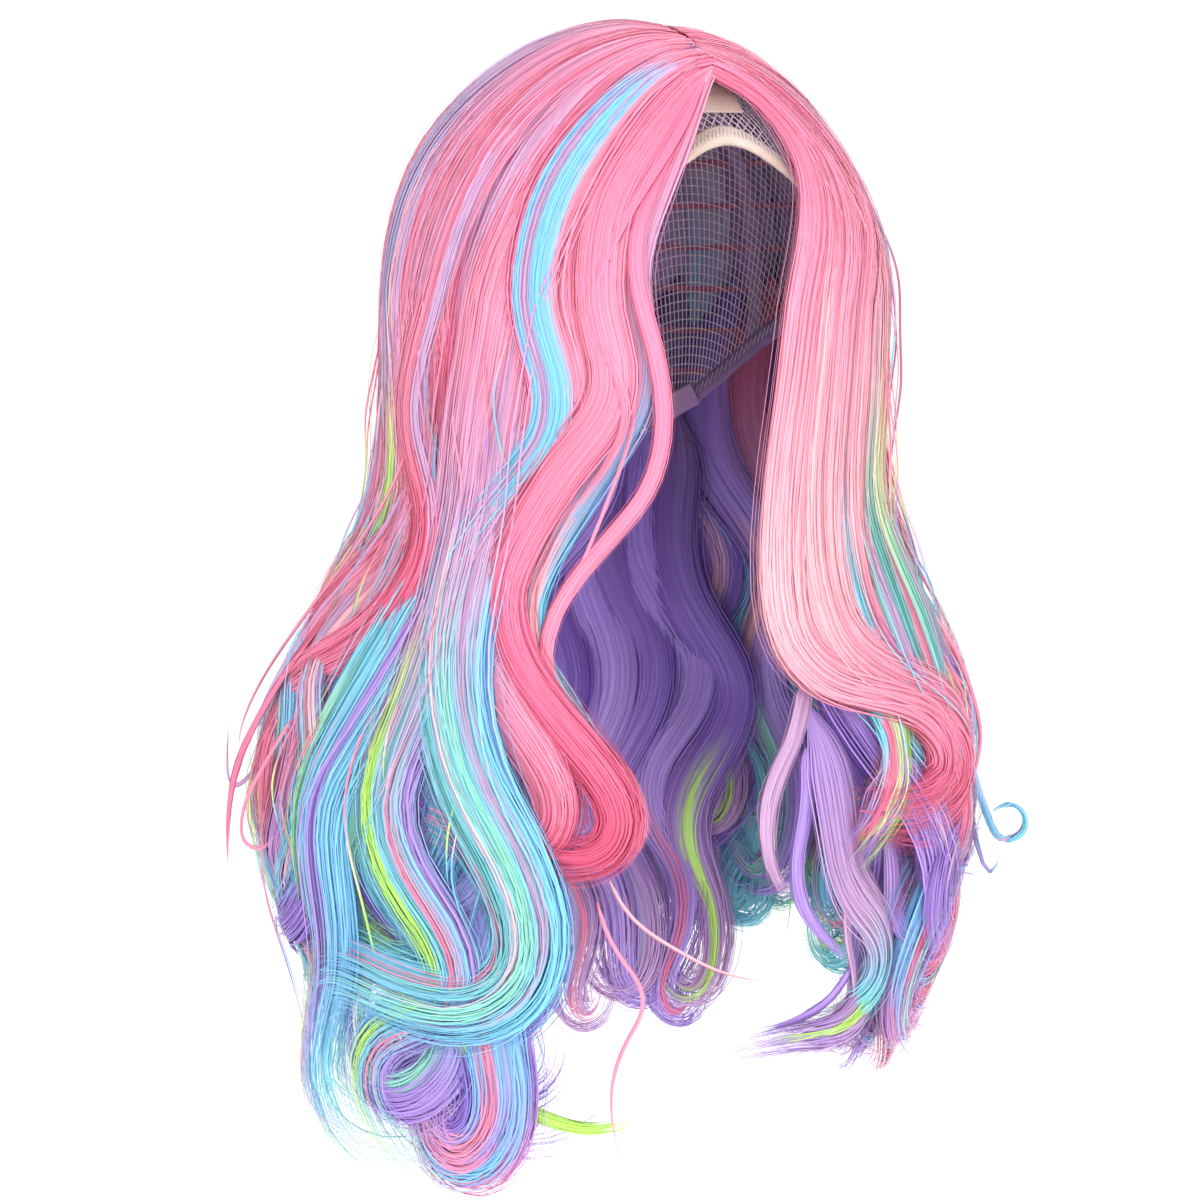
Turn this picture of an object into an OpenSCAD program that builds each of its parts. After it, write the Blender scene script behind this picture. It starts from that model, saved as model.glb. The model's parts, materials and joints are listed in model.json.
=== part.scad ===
// Long wavy costume wig on a stretch cap, with hair that lifts in six sections.
// Millimetres, +Z up, face opening towards -Y, wearer's left towards +X.
// The origin is the inner crown of the cap, where the top of the head seats.

/* [Cap] */
// Half width of the head that the cap fits
head_half_w = 77; // [72:0.5:80]
// Half depth of the head, front to back
head_half_d = 97; // [92:0.5:100]
// Half height of the head, crown to eye line
head_half_h = 108; // [104:0.5:112]
// Thickness of the stretch net
net_thick = 1; // [0.8:0.1:1.2]
// Height of the elastic hem that goes round the cap's edge
hem_h = 9; // [7:0.5:10]

/* [Hair] */
// Height of the hair above the cap at the crown
crown_lift = 20; // [17:0.5:23]
// Half width of the hair at ear height
ear_half_w = 118; // [114:1:126]
// Length of the fall, from the cap's crown down to where the end curls start
fall_len = 464; // [420:1:520]
// Greatest thickness of the hair, inside to outside
hair_thick = 34; // [30:0.5:38]
// Depth of the waves, in and out
wave_depth = 4; // [0:0.5:5]
// Radius of the hook that each end curl makes
curl_r = 16; // [13:0.5:17]

/* [Straps] */
// Width of each elastic adjusting strap
strap_w = 8; // [6:0.5:9]
// Thickness of the strap
strap_t = 1.2; // [1:0.1:1.4]
// Distance between two loops of the adjusting tape
loop_pitch = 8; // [6:0.5:8]

/* [Hidden] */

// Sides of the wearer's head
LEFT = 1;
RIGHT = -1;
// The fall's waves: how many degrees of wave there are in a millimetre
WAVE_RATE = 360 / 155;
// Height at which the hair leaves the cap and starts to swing
swing_z = -165;
// Room between the parts of the hair above and below that height
swing_gap = 1;
// Room on each side of a section's edge, in degrees
section_gap = 1.2;
// Room between the cap and the hair over it, and between the bare face and the hair
cap_room = 6.5;
face_room = 2.5;

// Where each section of hair starts and ends, in degrees from the front
FRONT_EDGE_LEFT = 12;
FRONT_EDGE_RIGHT = 27;
FRONT_SIDE = 54;
SIDE_BACK = 114;
BACK_MIDDLE = 179;

// Height of the ears, where the dome ends and the fall starts
ear_z = -105;
dome_h = crown_lift - ear_z;
// The fall's levels, at the ears, the neck, the widest flare and the ends:
// [height, half width, half depth, y of the centre]
LEVELS = [
    [ear_z, 0.99 * ear_half_w, 1.1 * ear_half_w, 22],
    [ear_z - 0.2 * (fall_len + ear_z), 1.01 * ear_half_w, 1.09 * ear_half_w, 27],
    [ear_z - 0.65 * (fall_len + ear_z), 1.53 * ear_half_w, 1.18 * ear_half_w, 36],
    [-fall_len, 1.33 * ear_half_w, 1.08 * ear_half_w, 34]
];
// How round the dome is, seen from the front and from the side
DOME_POWER = [1.7, 1.9];
// How far the dome leans forwards at its top
dome_lean = 16;

function smooth(t) = let (c = min(max(t, 0), 1)) c * c * (3 - 2 * c);
function unit(v) = v / norm(v);
// Value k of the levels at height z, with a smooth step from each level to the next
function fall_level(z, k) =
    LEVELS[0][k]
    + (LEVELS[1][k] - LEVELS[0][k]) * smooth((LEVELS[0][0] - z) / (LEVELS[0][0] - LEVELS[1][0]))
    + (LEVELS[2][k] - LEVELS[1][k]) * smooth((LEVELS[1][0] - z) / (LEVELS[1][0] - LEVELS[2][0]))
    + (LEVELS[3][k] - LEVELS[2][k]) * smooth((LEVELS[2][0] - z) / (LEVELS[2][0] - LEVELS[3][0]));
// How far up the dome height z is, from 0 at the ears to nearly 1 at the crown
function dome_share(z) = min(max((z - ear_z) / dome_h, 0), 0.9999);
// The envelope's half width (k = 1) or half depth (k = 2), and its centre, at height z
function envelope(z, k) = fall_level(z, k) * sqrt(1 - pow(dome_share(z), DOME_POWER[k - 1]));
function centre_y(z) = fall_level(z, 3) - dome_lean * (1 - pow(1 - dome_share(z), 0.6));

// How strongly the waves show at height z: not at all on the cap
function wave_at(z) = smooth((swing_z - z) / 60);
// Outer surface of the hair at azimuth a (0 at the front, + to the wearer's left).
// It lies flatter along the parting.
function outer(a, z) =
    let (ripple = wave_depth * wave_at(z) * sin((swing_z - z) * WAVE_RATE + 2 * abs(a)),
         flat = 1 - 0.13 * pow(max(cos(a), 0), 8) * smooth((z + 60) / 30),
         w = envelope(z, 1) + ripple,
         d = (envelope(z, 2) + ripple) * flat)
    [w * sin(a), centre_y(z) - d * cos(a), z];

// The head, as an ellipsoid whose top is the origin: its size along the direction u
function head_reach(u) =
    1 / norm([u[0] / head_half_w, u[1] / head_half_d, u[2] / head_half_h]);
// How much of the head's width is left at height z below its widest level
function head_share(z) = sqrt(max(1 - pow(min(z + head_half_h, 0) / head_half_h, 2), 0.04));
function room(a, z) =
    z > -42 ? cap_room : face_room + (cap_room - face_room) * smooth((abs(a) - 30) / 30);

// A point between the head side (q = 0) and the outer surface (q = 1), moved out by mm
function hair_point(a, z, q, mm) =
    let (p = outer(a, z),
         t = [0, centre_y(z) * smooth((-head_half_h - z) / 100), min(z, -head_half_h)],
         u = unit(p - t),
         full = norm(p - t),
         low = max(head_reach(u) * head_share(z) + room(a, z), full - hair_thick))
    t + u * (low + q * (full - low) + mm);

// A closed shell between two surfaces. inner and outer are [q, mm] for hair_point.
module shell(a0, a1, z0, z1, na, nz, inner_at, outer_at) {
    pts = [for (side = [inner_at, outer_at], j = [0:nz], i = [0:na])
        hair_point(a0 + (a1 - a0) * i / na, z0 + (z1 - z0) * j / nz, side[0], side[1])];
    closed_grid(pts, na, nz);
}

// The faces of a shell given as two grids of points, wound so that either turn is right
module closed_grid(pts, na, nz) {
    cols = na + 1;
    n = cols * (nz + 1);
    faces = concat(
        [for (j = [0:nz - 1], i = [0:na - 1], f = [0, 1]) let (k = j * cols + i)
            f == 0 ? [k, k + 1, k + cols] : [k + 1, k + cols + 1, k + cols]],
        [for (j = [0:nz - 1], i = [0:na - 1], f = [0, 1]) let (k = n + j * cols + i)
            f == 0 ? [k, k + cols, k + 1] : [k + 1, k + cols, k + cols + 1]],
        [for (i = [0:na - 1], f = [0, 1])
            f == 0 ? [i, n + i, i + 1] : [i + 1, n + i, n + i + 1]],
        [for (i = [0:na - 1], f = [0, 1]) let (k = nz * cols + i)
            f == 0 ? [k, k + 1, n + k] : [k + 1, n + k + 1, n + k]],
        [for (j = [0:nz - 1], f = [0, 1]) let (k = j * cols)
            f == 0 ? [k, k + cols, n + k] : [k + cols, n + k + cols, n + k]],
        [for (j = [0:nz - 1], f = [0, 1]) let (k = j * cols + na)
            f == 0 ? [k, n + k, k + cols] : [k + cols, n + k, n + k + cols]]
    );
    turn = (pts[1] - pts[0]) * cross(pts[cols] - pts[0], pts[n] - pts[0]);
    polyhedron(pts, turn > 0 ? faces : [for (f = faces) [f[2], f[1], f[0]]]);
}

// A tube through the points, with a radius for each; across is a direction it never turns to
module tube(path, radii, across, sides = 8) {
    last = len(path) - 1;
    rings = [for (i = [0:last])
        let (t = unit(path[min(i + 1, last)] - path[max(i - 1, 0)]),
             u = unit(across - t * (t * across)),
             v = cross(t, u))
        [for (k = [0:sides - 1])
            path[i] + radii[i] * (u * cos(360 * k / sides) + v * sin(360 * k / sides))]];
    polyhedron(
        [for (r = rings, p = r) p],
        concat(
            [[for (k = [0:sides - 1]) k]],
            [[for (k = [0:sides - 1]) last * sides + sides - 1 - k]],
            [for (i = [0:last - 1], k = [0:sides - 1], f = [0, 1])
                let (p = i * sides + k, q = i * sides + (k + 1) % sides)
                f == 0 ? [p, p + sides, q] : [q, p + sides, q + sides]]
        )
    );
}

// ---- the cap ----

// The net's lower edge, as [azimuth, height]. It is nearly level where the ear tab hangs.
NET_EDGE = [
    [0, -26], [40, -52], [70, -92], [84, -111], [99, -113], [112, -130], [142, -166], [180, -178]
];
function net_edge(a) = lookup(abs(a), NET_EDGE);
// The angle down from the crown at which the head has the height z
function head_angle(z) = acos((z + head_half_h) / head_half_h);
// A point on the head at azimuth a and angle t down from the crown, lifted off it by mm
function cap_point(a, t, mm) =
    let (s = [head_half_w * sin(t) * sin(a), -head_half_d * sin(t) * cos(a), head_half_h * cos(t)],
         n = unit([s[0] / pow(head_half_w, 2), s[1] / pow(head_half_d, 2),
                   s[2] / pow(head_half_h, 2)]))
    s + n * mm - [0, 0, head_half_h];

// A patch of the cap between two azimuths and two edges, given as angles down at each column
module cap_patch(azimuths, tops, bottoms, nt, mm0, mm1) {
    na = len(azimuths) - 1;
    pts = [for (mm = [mm0, mm1], j = [0:nt], i = [0:na])
        cap_point(azimuths[i], tops[i] + (bottoms[i] - tops[i]) * j / nt, mm)];
    closed_grid(pts, na, nt);
}

// The net's grid: columns round the head, rows down it, and the angle of its top row
NET_COLS = 36;
NET_ROWS = 9;
NET_TOP = 3;
// Index of a point of the net: side 0 inside or 1 outside, row j, column i
function net_at(side, j, i) = (side * (NET_ROWS + 1) + j) * NET_COLS + i % NET_COLS;

module crown_net() {
    cols = [0:NET_COLS - 1];
    rows = [0:NET_ROWS - 1];
    pts = [for (mm = [0, net_thick], j = [0:NET_ROWS], i = cols)
        let (a = i * 360 / NET_COLS, e = head_angle(net_edge(a > 180 ? a - 360 : a)))
        cap_point(a, NET_TOP + (e - NET_TOP) * j / NET_ROWS, mm)];
    color("lightgrey") polyhedron(pts, concat(
        [[for (i = cols) net_at(0, 0, i)]],
        [[for (i = cols) net_at(1, 0, NET_COLS - 1 - i)]],
        [for (j = rows, i = cols, f = [0, 1]) f == 0
            ? [net_at(0, j, i), net_at(0, j + 1, i), net_at(0, j, i + 1)]
            : [net_at(0, j, i + 1), net_at(0, j + 1, i), net_at(0, j + 1, i + 1)]],
        [for (j = rows, i = cols, f = [0, 1]) f == 0
            ? [net_at(1, j, i), net_at(1, j, i + 1), net_at(1, j + 1, i)]
            : [net_at(1, j, i + 1), net_at(1, j + 1, i + 1), net_at(1, j + 1, i)]],
        [for (i = cols, f = [0, 1]) f == 0
            ? [net_at(0, NET_ROWS, i), net_at(1, NET_ROWS, i), net_at(0, NET_ROWS, i + 1)]
            : [net_at(0, NET_ROWS, i + 1), net_at(1, NET_ROWS, i), net_at(1, NET_ROWS, i + 1)]]
    ));
}

// A flat ribbon laid over the cap in the upright plane at azimuth a
module cap_ribbon(a, t0, t1, nt, width, mm0, mm1) {
    half = [cos(a), sin(a), 0] * width / 2;
    pts = [for (mm = [mm0, mm1], j = [0:nt], side = [-1, 1])
        cap_point(a, t0 + (t1 - t0) * j / nt, mm) + half * side];
    closed_grid(pts, 1, nt);
}

// Layers over the net, in mm from the head
RIBBON_IN = net_thick + 0.7;
RIBBON_OUT = RIBBON_IN + 0.8;
WEFT_IN = RIBBON_OUT + 0.6;
WEFT_OUT = WEFT_IN + 1.4;

module parting_strip() {
    color("peachpuff")
        cap_ribbon(0, -36, head_angle(net_edge(0)) - 1, 12, 26, RIBBON_IN, RIBBON_OUT);
}

module centre_ribbon() {
    color("plum")
        cap_ribbon(180, 38, head_angle(net_edge(180)) - 1, 12, 10, RIBBON_IN, RIBBON_OUT);
}

module side_ribbon(side) {
    color("plum")
        cap_ribbon(side * 112, 22, head_angle(net_edge(112)) - 1, 12, 8, RIBBON_IN, RIBBON_OUT);
}

// The elastic hem, as a band just below the net's edge
hem_angle = hem_h / head_half_h * 57.3;
function hem_tops(azimuths) = [for (a = azimuths) head_angle(net_edge(a)) + 0.3];

module hem(azimuths) {
    tops = hem_tops(azimuths);
    cap_patch(azimuths, tops, [for (t = tops) t + hem_angle], 1, 0, 1.4);
}

module front_hem() {
    color("peachpuff") hem([for (i = [-12:12]) i * 95 / 12]);
}

module nape_hem() {
    color("plum") hem([for (i = [-10:10]) 180 + i * 84 / 10]);
}

// A weft row: a track of stitched hair roots round the back of the cap at height z
WEFT_Z = [-46, -66, -86, -106, -126, -146, -164];
EDGE_BY_HEIGHT = [for (e = NET_EDGE) [-e[1], e[0]]];
function weft_start(z) = lookup(-z, EDGE_BY_HEIGHT) + 4;

module weft_row(k) {
    color("palevioletred") {
        z = WEFT_Z[k - 1];
        a0 = weft_start(z);
        n = round((360 - 2 * a0) / 10);
        t0 = head_angle(z + 1.3);
        t1 = head_angle(z - 1.3);
        azimuths = [for (i = [0:n]) a0 + (360 - 2 * a0) * i / n];
        cap_patch(azimuths, [for (a = azimuths) t0], [for (a = azimuths) t1], 1,
                  WEFT_IN, WEFT_OUT);
    }
}

// ---- ear tabs ----

tab_x = head_half_w - 1.4;
tab_t = 1.8;
tab_top_z = -122.5;
tab_len = 20;
tab_w = 20;

module tab_outline() {
    polygon([
        [-tab_w / 2, 0], [tab_w / 2, 0], [tab_w / 2, -6], [5, -tab_len], [-5, -tab_len],
        [-tab_w / 2, -9]
    ]);
}

// Places a drawing so that its Y is up and its thickness goes outwards from the tab's plane
module on_tab(side, depth, thick) {
    translate([side * (tab_x + depth), 0, tab_top_z])
        rotate([90, 0, side * 90])
            linear_extrude(thick) children();
}

module stay_outline(room) {
    translate([-2.5 - room, -17 - room])
        square([5 + 2 * room, 14 + 2 * room]);
}

module ear_tab(side) {
    color("peachpuff")
        difference() {
            on_tab(side, 0, tab_t) tab_outline();
            on_tab(side, 0.5, 0.8) stay_outline(0.3);
        }
}

module ear_tab_stay(side) {
    color("silver") on_tab(side, 0.6, 0.6) stay_outline(0);
}

// ---- adjusting straps inside the nape ----

// Each strap lies on a chord inside the nape, from behind the ear down to the middle
chord_from = [46.8, 54, -158];
chord_to = [4, 65, -180];
chord = chord_to - chord_from;
chord_len = norm(chord);
chord_turn = atan2(chord[1], chord[0]);
chord_dip = asin(-chord[2] / chord_len);
casing_len = 20;
hook_len = 12;
// How far the hook is from the chord's end when the strap is at its middle setting
hook_back = 10;

// Places a drawing whose X goes along the chord, Y is the thickness, towards the hem
module on_chord(side) {
    mirror([side == LEFT ? 0 : 1, 0, 0])
        translate(chord_from)
            rotate([0, chord_dip, chord_turn])
                mirror([0, 1, 0]) children();
}

// A block given by its start and size along the chord, centred on the strap's height
module chord_block(x0, x1, y0, y1, h) {
    translate([x0, y0, -h / 2]) cube([x1 - x0, y1 - y0, h]);
}

module strap_casing(side) {
    color("plum") on_chord(side)
        difference() {
            chord_block(-2, casing_len - 2, -1.2, strap_t + 1.2, strap_w + 3);
            chord_block(-3, casing_len - 1, -0.4, strap_t + 0.4, strap_w + 0.8);
        }
}

module strap(side) {
    color("mediumorchid") on_chord(side)
        chord_block(6, chord_len - hook_back - hook_len, 0, strap_t, strap_w);
}

// A flat hook with a slot for the strap and a finger that goes behind a loop
module strap_hook(side) {
    x0 = chord_len - hook_back - hook_len;
    color("white") on_chord(side) {
        difference() {
            chord_block(x0, x0 + hook_len - 4, 0, strap_t, strap_w + 2);
            chord_block(x0 + 2.5, x0 + 4.5, -1, strap_t + 1, strap_w - 2);
        }
        chord_block(x0 + hook_len - 4, x0 + hook_len, 0, strap_t, 4);
    }
}

// The tape that the hook is set on: a strip with a raised bar for each loop
module loop_tape(side) {
    face = strap_t + 0.5;
    color("plum") on_chord(side)
        union() {
            chord_block(chord_len - 28, chord_len - 1, face + 0.6, face + 1.4, strap_w + 1);
            for (k = [0:2])
                chord_block(chord_len - 4 - k * loop_pitch, chord_len - 2.6 - k * loop_pitch,
                            face, face + 0.6, strap_w + 1);
        }
}

// ---- the hair on the cap ----

top_z = crown_lift - 0.02;
hairline_z = -38;

module crown_hair(side) {
    color("hotpink")
        shell(side * section_gap, side * BACK_MIDDLE, top_z, hairline_z, 20, 7, [0, 0], [1, 0]);
}

// A section of hair between two azimuths, above or below the height where it swings
module section_above(side, a0, a1, na) {
    shell(side * (a0 + section_gap), side * (a1 - section_gap), hairline_z - 1.5,
          swing_z + swing_gap, na, 6, [0, 0], [1, 0]);
}

module section_below(side, a0, a1, na, inner_at, outer_at) {
    shell(side * (a0 + section_gap), side * (a1 - section_gap), swing_z - swing_gap,
          -fall_len + 1, na, 14, inner_at, outer_at);
}

function front_edge(side) = side == LEFT ? FRONT_EDGE_LEFT : FRONT_EDGE_RIGHT;
// The outer and inner layers of a section below the swing height
OUTER_LAYER = [[0.54, 0], [1, 0]];
INNER_LAYER = [[0, 0], [0.46, 0]];

module front_hair(side) {
    color("pink") section_above(side, front_edge(side), FRONT_SIDE, 5);
}

module side_hair(side) {
    color("lightpink") section_above(side, FRONT_SIDE, SIDE_BACK, 6);
}

module back_hair(side) {
    color("orchid") section_above(side, SIDE_BACK, BACK_MIDDLE + section_gap, 6);
}

// The short dark layer that hangs from the nape, inside the rest
module nape_hair(side) {
    color("purple")
        shell(side * 132, side * 178, -194, -400, 4, 8, [0, -15], [0, -3]);
}

// ---- the hair that swings ----

module front_lock(side) {
    color("hotpink")
        section_below(side, front_edge(side), FRONT_SIDE, 5, OUTER_LAYER[0], OUTER_LAYER[1]);
}

module front_underlock(side) {
    color("mediumpurple")
        section_below(side, front_edge(side), FRONT_SIDE, 5, INNER_LAYER[0], INNER_LAYER[1]);
}

module side_lock(side) {
    color("skyblue")
        section_below(side, FRONT_SIDE, SIDE_BACK, 6, OUTER_LAYER[0], OUTER_LAYER[1]);
}

module side_underlock(side) {
    color("aquamarine")
        section_below(side, FRONT_SIDE, SIDE_BACK, 6, INNER_LAYER[0], INNER_LAYER[1]);
}

module back_lock(side) {
    color("lightpink")
        section_below(side, SIDE_BACK, BACK_MIDDLE + section_gap, 6,
                      OUTER_LAYER[0], OUTER_LAYER[1]);
}

module back_underlock(side) {
    color("plum")
        section_below(side, SIDE_BACK, BACK_MIDDLE + section_gap, 6,
                      INNER_LAYER[0], INNER_LAYER[1]);
}

// A hooked curl under the fall at azimuth a: down, then outwards and up
module end_curl(a) {
    n = 12;
    top = hair_point(a, -fall_len, 0.5, 0);
    out = [sin(a), -cos(a), 0];
    drop = 14;
    path = concat(
        [top - [0, 0, 12], top - [0, 0, 18]],
        [for (i = [1:n]) let (f = i / n * 225)
            top + out * curl_r * (1 - cos(f)) - [0, 0, 12 + drop + curl_r * sin(f)]]
    );
    tube(path, [for (i = [0:len(path) - 1]) 11 - 8 * i / len(path)], [cos(a), sin(a), 0]);
}

module front_curls(side) {
    middle = (front_edge(side) + FRONT_SIDE) / 2;
    color("violet") for (d = [-7, 7]) end_curl(side * (middle + d));
}

module side_curls(side) {
    color("turquoise") for (d = [-18, 0, 18]) end_curl(side * ((FRONT_SIDE + SIDE_BACK) / 2 + d));
}

module back_curls(side) {
    color("skyblue") for (d = [-20, 0, 20]) end_curl(side * ((SIDE_BACK + BACK_MIDDLE) / 2 + d));
}

// A thin tendril that leaves the side lock and winds up in a small hook
module spiral_tendril_left() {
    a = 66;
    out = [sin(a), -cos(a), 0];
    top = hair_point(a, -352, 1, 4);
    n = 14;
    r = 9;
    path = concat(
        [top, top + out * 3 - [0, 0, 9], top + out * 9 - [0, 0, 19]],
        [for (i = [0:n]) let (f = -50 + i / n * 300)
            top + out * (17 + r * sin(f)) + [0, 0, -18 - r * cos(f) + i * 0.15]]
    );
    color("skyblue") tube(path, [for (i = [0:len(path) - 1]) 2.4 - 0.1 * i], [cos(a), sin(a), 0], 6);
}

// A thin lock that leaves the side lock's surface and strays out
module stray_lock_right() {
    a = -96;
    n = 12;
    path = [for (i = [0:n]) let (s = i / n)
        hair_point(a, -262 - 104 * s, 1, 5 + 16 * smooth(s) + 2 * sin(s * 360))];
    color("hotpink") tube(path, [for (i = [0:n]) 3 - 0.14 * i], [cos(a), sin(a), 0], 6);
}

crown_net();
parting_strip();
front_hem();
nape_hem();
centre_ribbon();
side_ribbon(LEFT);  // side_ribbon_left
side_ribbon(RIGHT);  // side_ribbon_right
weft_row(1);  // weft_row_1
weft_row(2);  // weft_row_2
weft_row(3);  // weft_row_3
weft_row(4);  // weft_row_4
weft_row(5);  // weft_row_5
weft_row(6);  // weft_row_6
weft_row(7);  // weft_row_7
ear_tab(LEFT);  // ear_tab_left
ear_tab(RIGHT);  // ear_tab_right
ear_tab_stay(LEFT);  // ear_tab_stay_left
ear_tab_stay(RIGHT);  // ear_tab_stay_right
strap_casing(LEFT);  // strap_casing_left
strap_casing(RIGHT);  // strap_casing_right
loop_tape(LEFT);  // loop_tape_left
loop_tape(RIGHT);  // loop_tape_right
strap(LEFT);  // strap_left
strap(RIGHT);  // strap_right
strap_hook(LEFT);  // strap_hook_left
strap_hook(RIGHT);  // strap_hook_right
crown_hair(LEFT);  // crown_hair_left
crown_hair(RIGHT);  // crown_hair_right
front_hair(LEFT);  // front_hair_left
front_hair(RIGHT);  // front_hair_right
side_hair(LEFT);  // side_hair_left
side_hair(RIGHT);  // side_hair_right
back_hair(LEFT);  // back_hair_left
back_hair(RIGHT);  // back_hair_right
nape_hair(LEFT);  // nape_hair_left
nape_hair(RIGHT);  // nape_hair_right
front_lock(LEFT);  // front_lock_left
front_lock(RIGHT);  // front_lock_right
side_lock(LEFT);  // side_lock_left
side_lock(RIGHT);  // side_lock_right
back_lock(LEFT);  // back_lock_left
back_lock(RIGHT);  // back_lock_right
front_underlock(LEFT);  // front_underlock_left
front_underlock(RIGHT);  // front_underlock_right
side_underlock(LEFT);  // side_underlock_left
side_underlock(RIGHT);  // side_underlock_right
back_underlock(LEFT);  // back_underlock_left
back_underlock(RIGHT);  // back_underlock_right
front_curls(LEFT);  // front_curls_left
front_curls(RIGHT);  // front_curls_right
side_curls(LEFT);  // side_curls_left
side_curls(RIGHT);  // side_curls_right
back_curls(LEFT);  // back_curls_left
back_curls(RIGHT);  // back_curls_right
spiral_tendril_left();
stray_lock_right();
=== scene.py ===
"""A long wavy costume wig in pastel rainbow hair, on a stretch cap.

Lengths are in millimetres and angles in degrees until a mesh is made. An azimuth is 0 at the
front and grows towards the wearer's left. A heading is the angle of a lock from straight down,
positive towards the wearer's left.
"""
import json
import math
from types import SimpleNamespace

import bpy
import numpy as np
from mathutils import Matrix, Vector

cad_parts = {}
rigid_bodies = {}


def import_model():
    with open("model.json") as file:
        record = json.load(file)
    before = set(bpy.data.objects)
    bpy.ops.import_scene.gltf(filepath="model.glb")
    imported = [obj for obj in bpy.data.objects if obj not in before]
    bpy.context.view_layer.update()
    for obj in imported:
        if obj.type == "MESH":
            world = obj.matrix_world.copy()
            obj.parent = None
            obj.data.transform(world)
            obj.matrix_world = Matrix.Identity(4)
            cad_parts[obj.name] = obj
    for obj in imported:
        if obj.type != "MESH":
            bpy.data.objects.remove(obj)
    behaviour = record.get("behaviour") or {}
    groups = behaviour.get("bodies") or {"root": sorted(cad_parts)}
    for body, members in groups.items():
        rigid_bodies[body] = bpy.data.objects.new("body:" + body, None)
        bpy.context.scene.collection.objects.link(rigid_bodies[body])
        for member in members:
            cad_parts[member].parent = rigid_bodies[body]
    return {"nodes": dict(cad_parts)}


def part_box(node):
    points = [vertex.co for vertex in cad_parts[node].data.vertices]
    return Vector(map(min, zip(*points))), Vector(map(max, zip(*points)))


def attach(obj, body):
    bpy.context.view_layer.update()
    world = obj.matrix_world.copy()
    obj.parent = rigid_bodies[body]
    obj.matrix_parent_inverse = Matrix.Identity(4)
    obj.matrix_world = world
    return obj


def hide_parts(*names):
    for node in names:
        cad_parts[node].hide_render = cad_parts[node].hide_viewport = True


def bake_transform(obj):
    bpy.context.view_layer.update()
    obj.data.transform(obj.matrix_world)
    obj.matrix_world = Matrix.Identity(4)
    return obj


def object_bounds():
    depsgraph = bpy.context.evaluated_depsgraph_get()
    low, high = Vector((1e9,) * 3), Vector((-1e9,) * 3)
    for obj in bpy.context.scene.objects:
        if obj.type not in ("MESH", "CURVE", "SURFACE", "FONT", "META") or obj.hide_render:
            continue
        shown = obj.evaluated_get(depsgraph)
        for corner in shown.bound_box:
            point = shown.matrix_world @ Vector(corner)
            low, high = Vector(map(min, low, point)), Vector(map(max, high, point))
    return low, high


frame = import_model()
cad_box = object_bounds()

MM = 0.001
LEFT, RIGHT = 1, -1
SIDES = {"left": LEFT, "right": RIGHT}

# ---- the head and the hair's outer surface, as the CAD has them ----


def half_mm(metres):
    """A size from the frame, to the half millimetre, since flat facets cut it a little short."""
    return round(metres / MM * 2) / 2


NET_THICK = 1.0
NET_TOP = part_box("crown_net")[1]
HEAD_HALF_H = 108.0
# Half width, half depth and half height
HEAD = np.array([half_mm(NET_TOP[0]) - NET_THICK, half_mm(NET_TOP[1]) - NET_THICK, HEAD_HALF_H])
# Hair above the cap at the crown
CROWN_LIFT = half_mm(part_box("crown_hair_left")[1][2])
# Half width of the hair at ear height. The side hair's foot is a little wider
FOOT_SPREAD = 1.008
EAR_W = half_mm(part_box("side_hair_left")[1][0] / FOOT_SPREAD)
# Where the dome ends and the fall starts
EAR_Z = -105.0
# Crown of the cap down to the end curls, 1 mm below the foot of the locks
FALL_LEN = 1.0 - half_mm(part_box("back_lock_left")[0][2])
# The fall's levels: height, then half width, half depth as shares of EAR_W, then centre y
LEVELS = np.array([
    [EAR_Z, 0.99, 1.10, 22.0],
    [-177.0, 1.01, 1.09, 27.0],
    [-338.0, 1.53, 1.18, 36.0],
    [-FALL_LEN, 1.33, 1.08, 34.0],
])
# The crown stands a little fuller on the wearer's right, away from the parting
CROWN_SHIFT = -8.0
# How square the dome is from side to side and from front to back. An ellipse has 2
DOME_POWERS = (1.7, 1.9)
# The net's lower edge: azimuth and height
NET_EDGE = np.array([[0, -26], [40, -52], [70, -92], [84, -111], [99, -113], [112, -130],
                     [142, -166], [180, -178]])


def smooth(t):
    """0 to 1 with flat ends."""
    t = np.clip(t, 0.0, 1.0)
    return t * t * (3 - 2 * t)


def unit(v):
    """Vectors of length 1, along the last axis."""
    return v / np.maximum(np.linalg.norm(v, axis=-1, keepdims=True), 1e-9)


def fall_level(z, k):
    """Value k of LEVELS at height z, blended smoothly from level to level."""
    value = np.full(np.shape(z), LEVELS[0, k])
    for upper, lower in zip(LEVELS[:-1], LEVELS[1:]):
        value = value + (lower[k] - upper[k]) * smooth((upper[0] - z) / (upper[0] - lower[0]))
    return value


def envelope(z):
    """Half width, half depth, centre x and centre y of the hair's outer surface at height z."""
    z = np.asarray(z, dtype=float)
    up = np.clip((z - EAR_Z) / (CROWN_LIFT - EAR_Z), 0.0, 0.9999)
    width = EAR_W * fall_level(z, 1) * np.sqrt(1 - up ** DOME_POWERS[0])
    depth = EAR_W * fall_level(z, 2) * np.sqrt(1 - up ** DOME_POWERS[1])
    centre_y = fall_level(z, 3) - 16 * (1 - (1 - up) ** 0.6)
    centre_x = CROWN_SHIFT * smooth((z - EAR_Z) / 85)
    return width, depth, centre_x, centre_y


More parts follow.
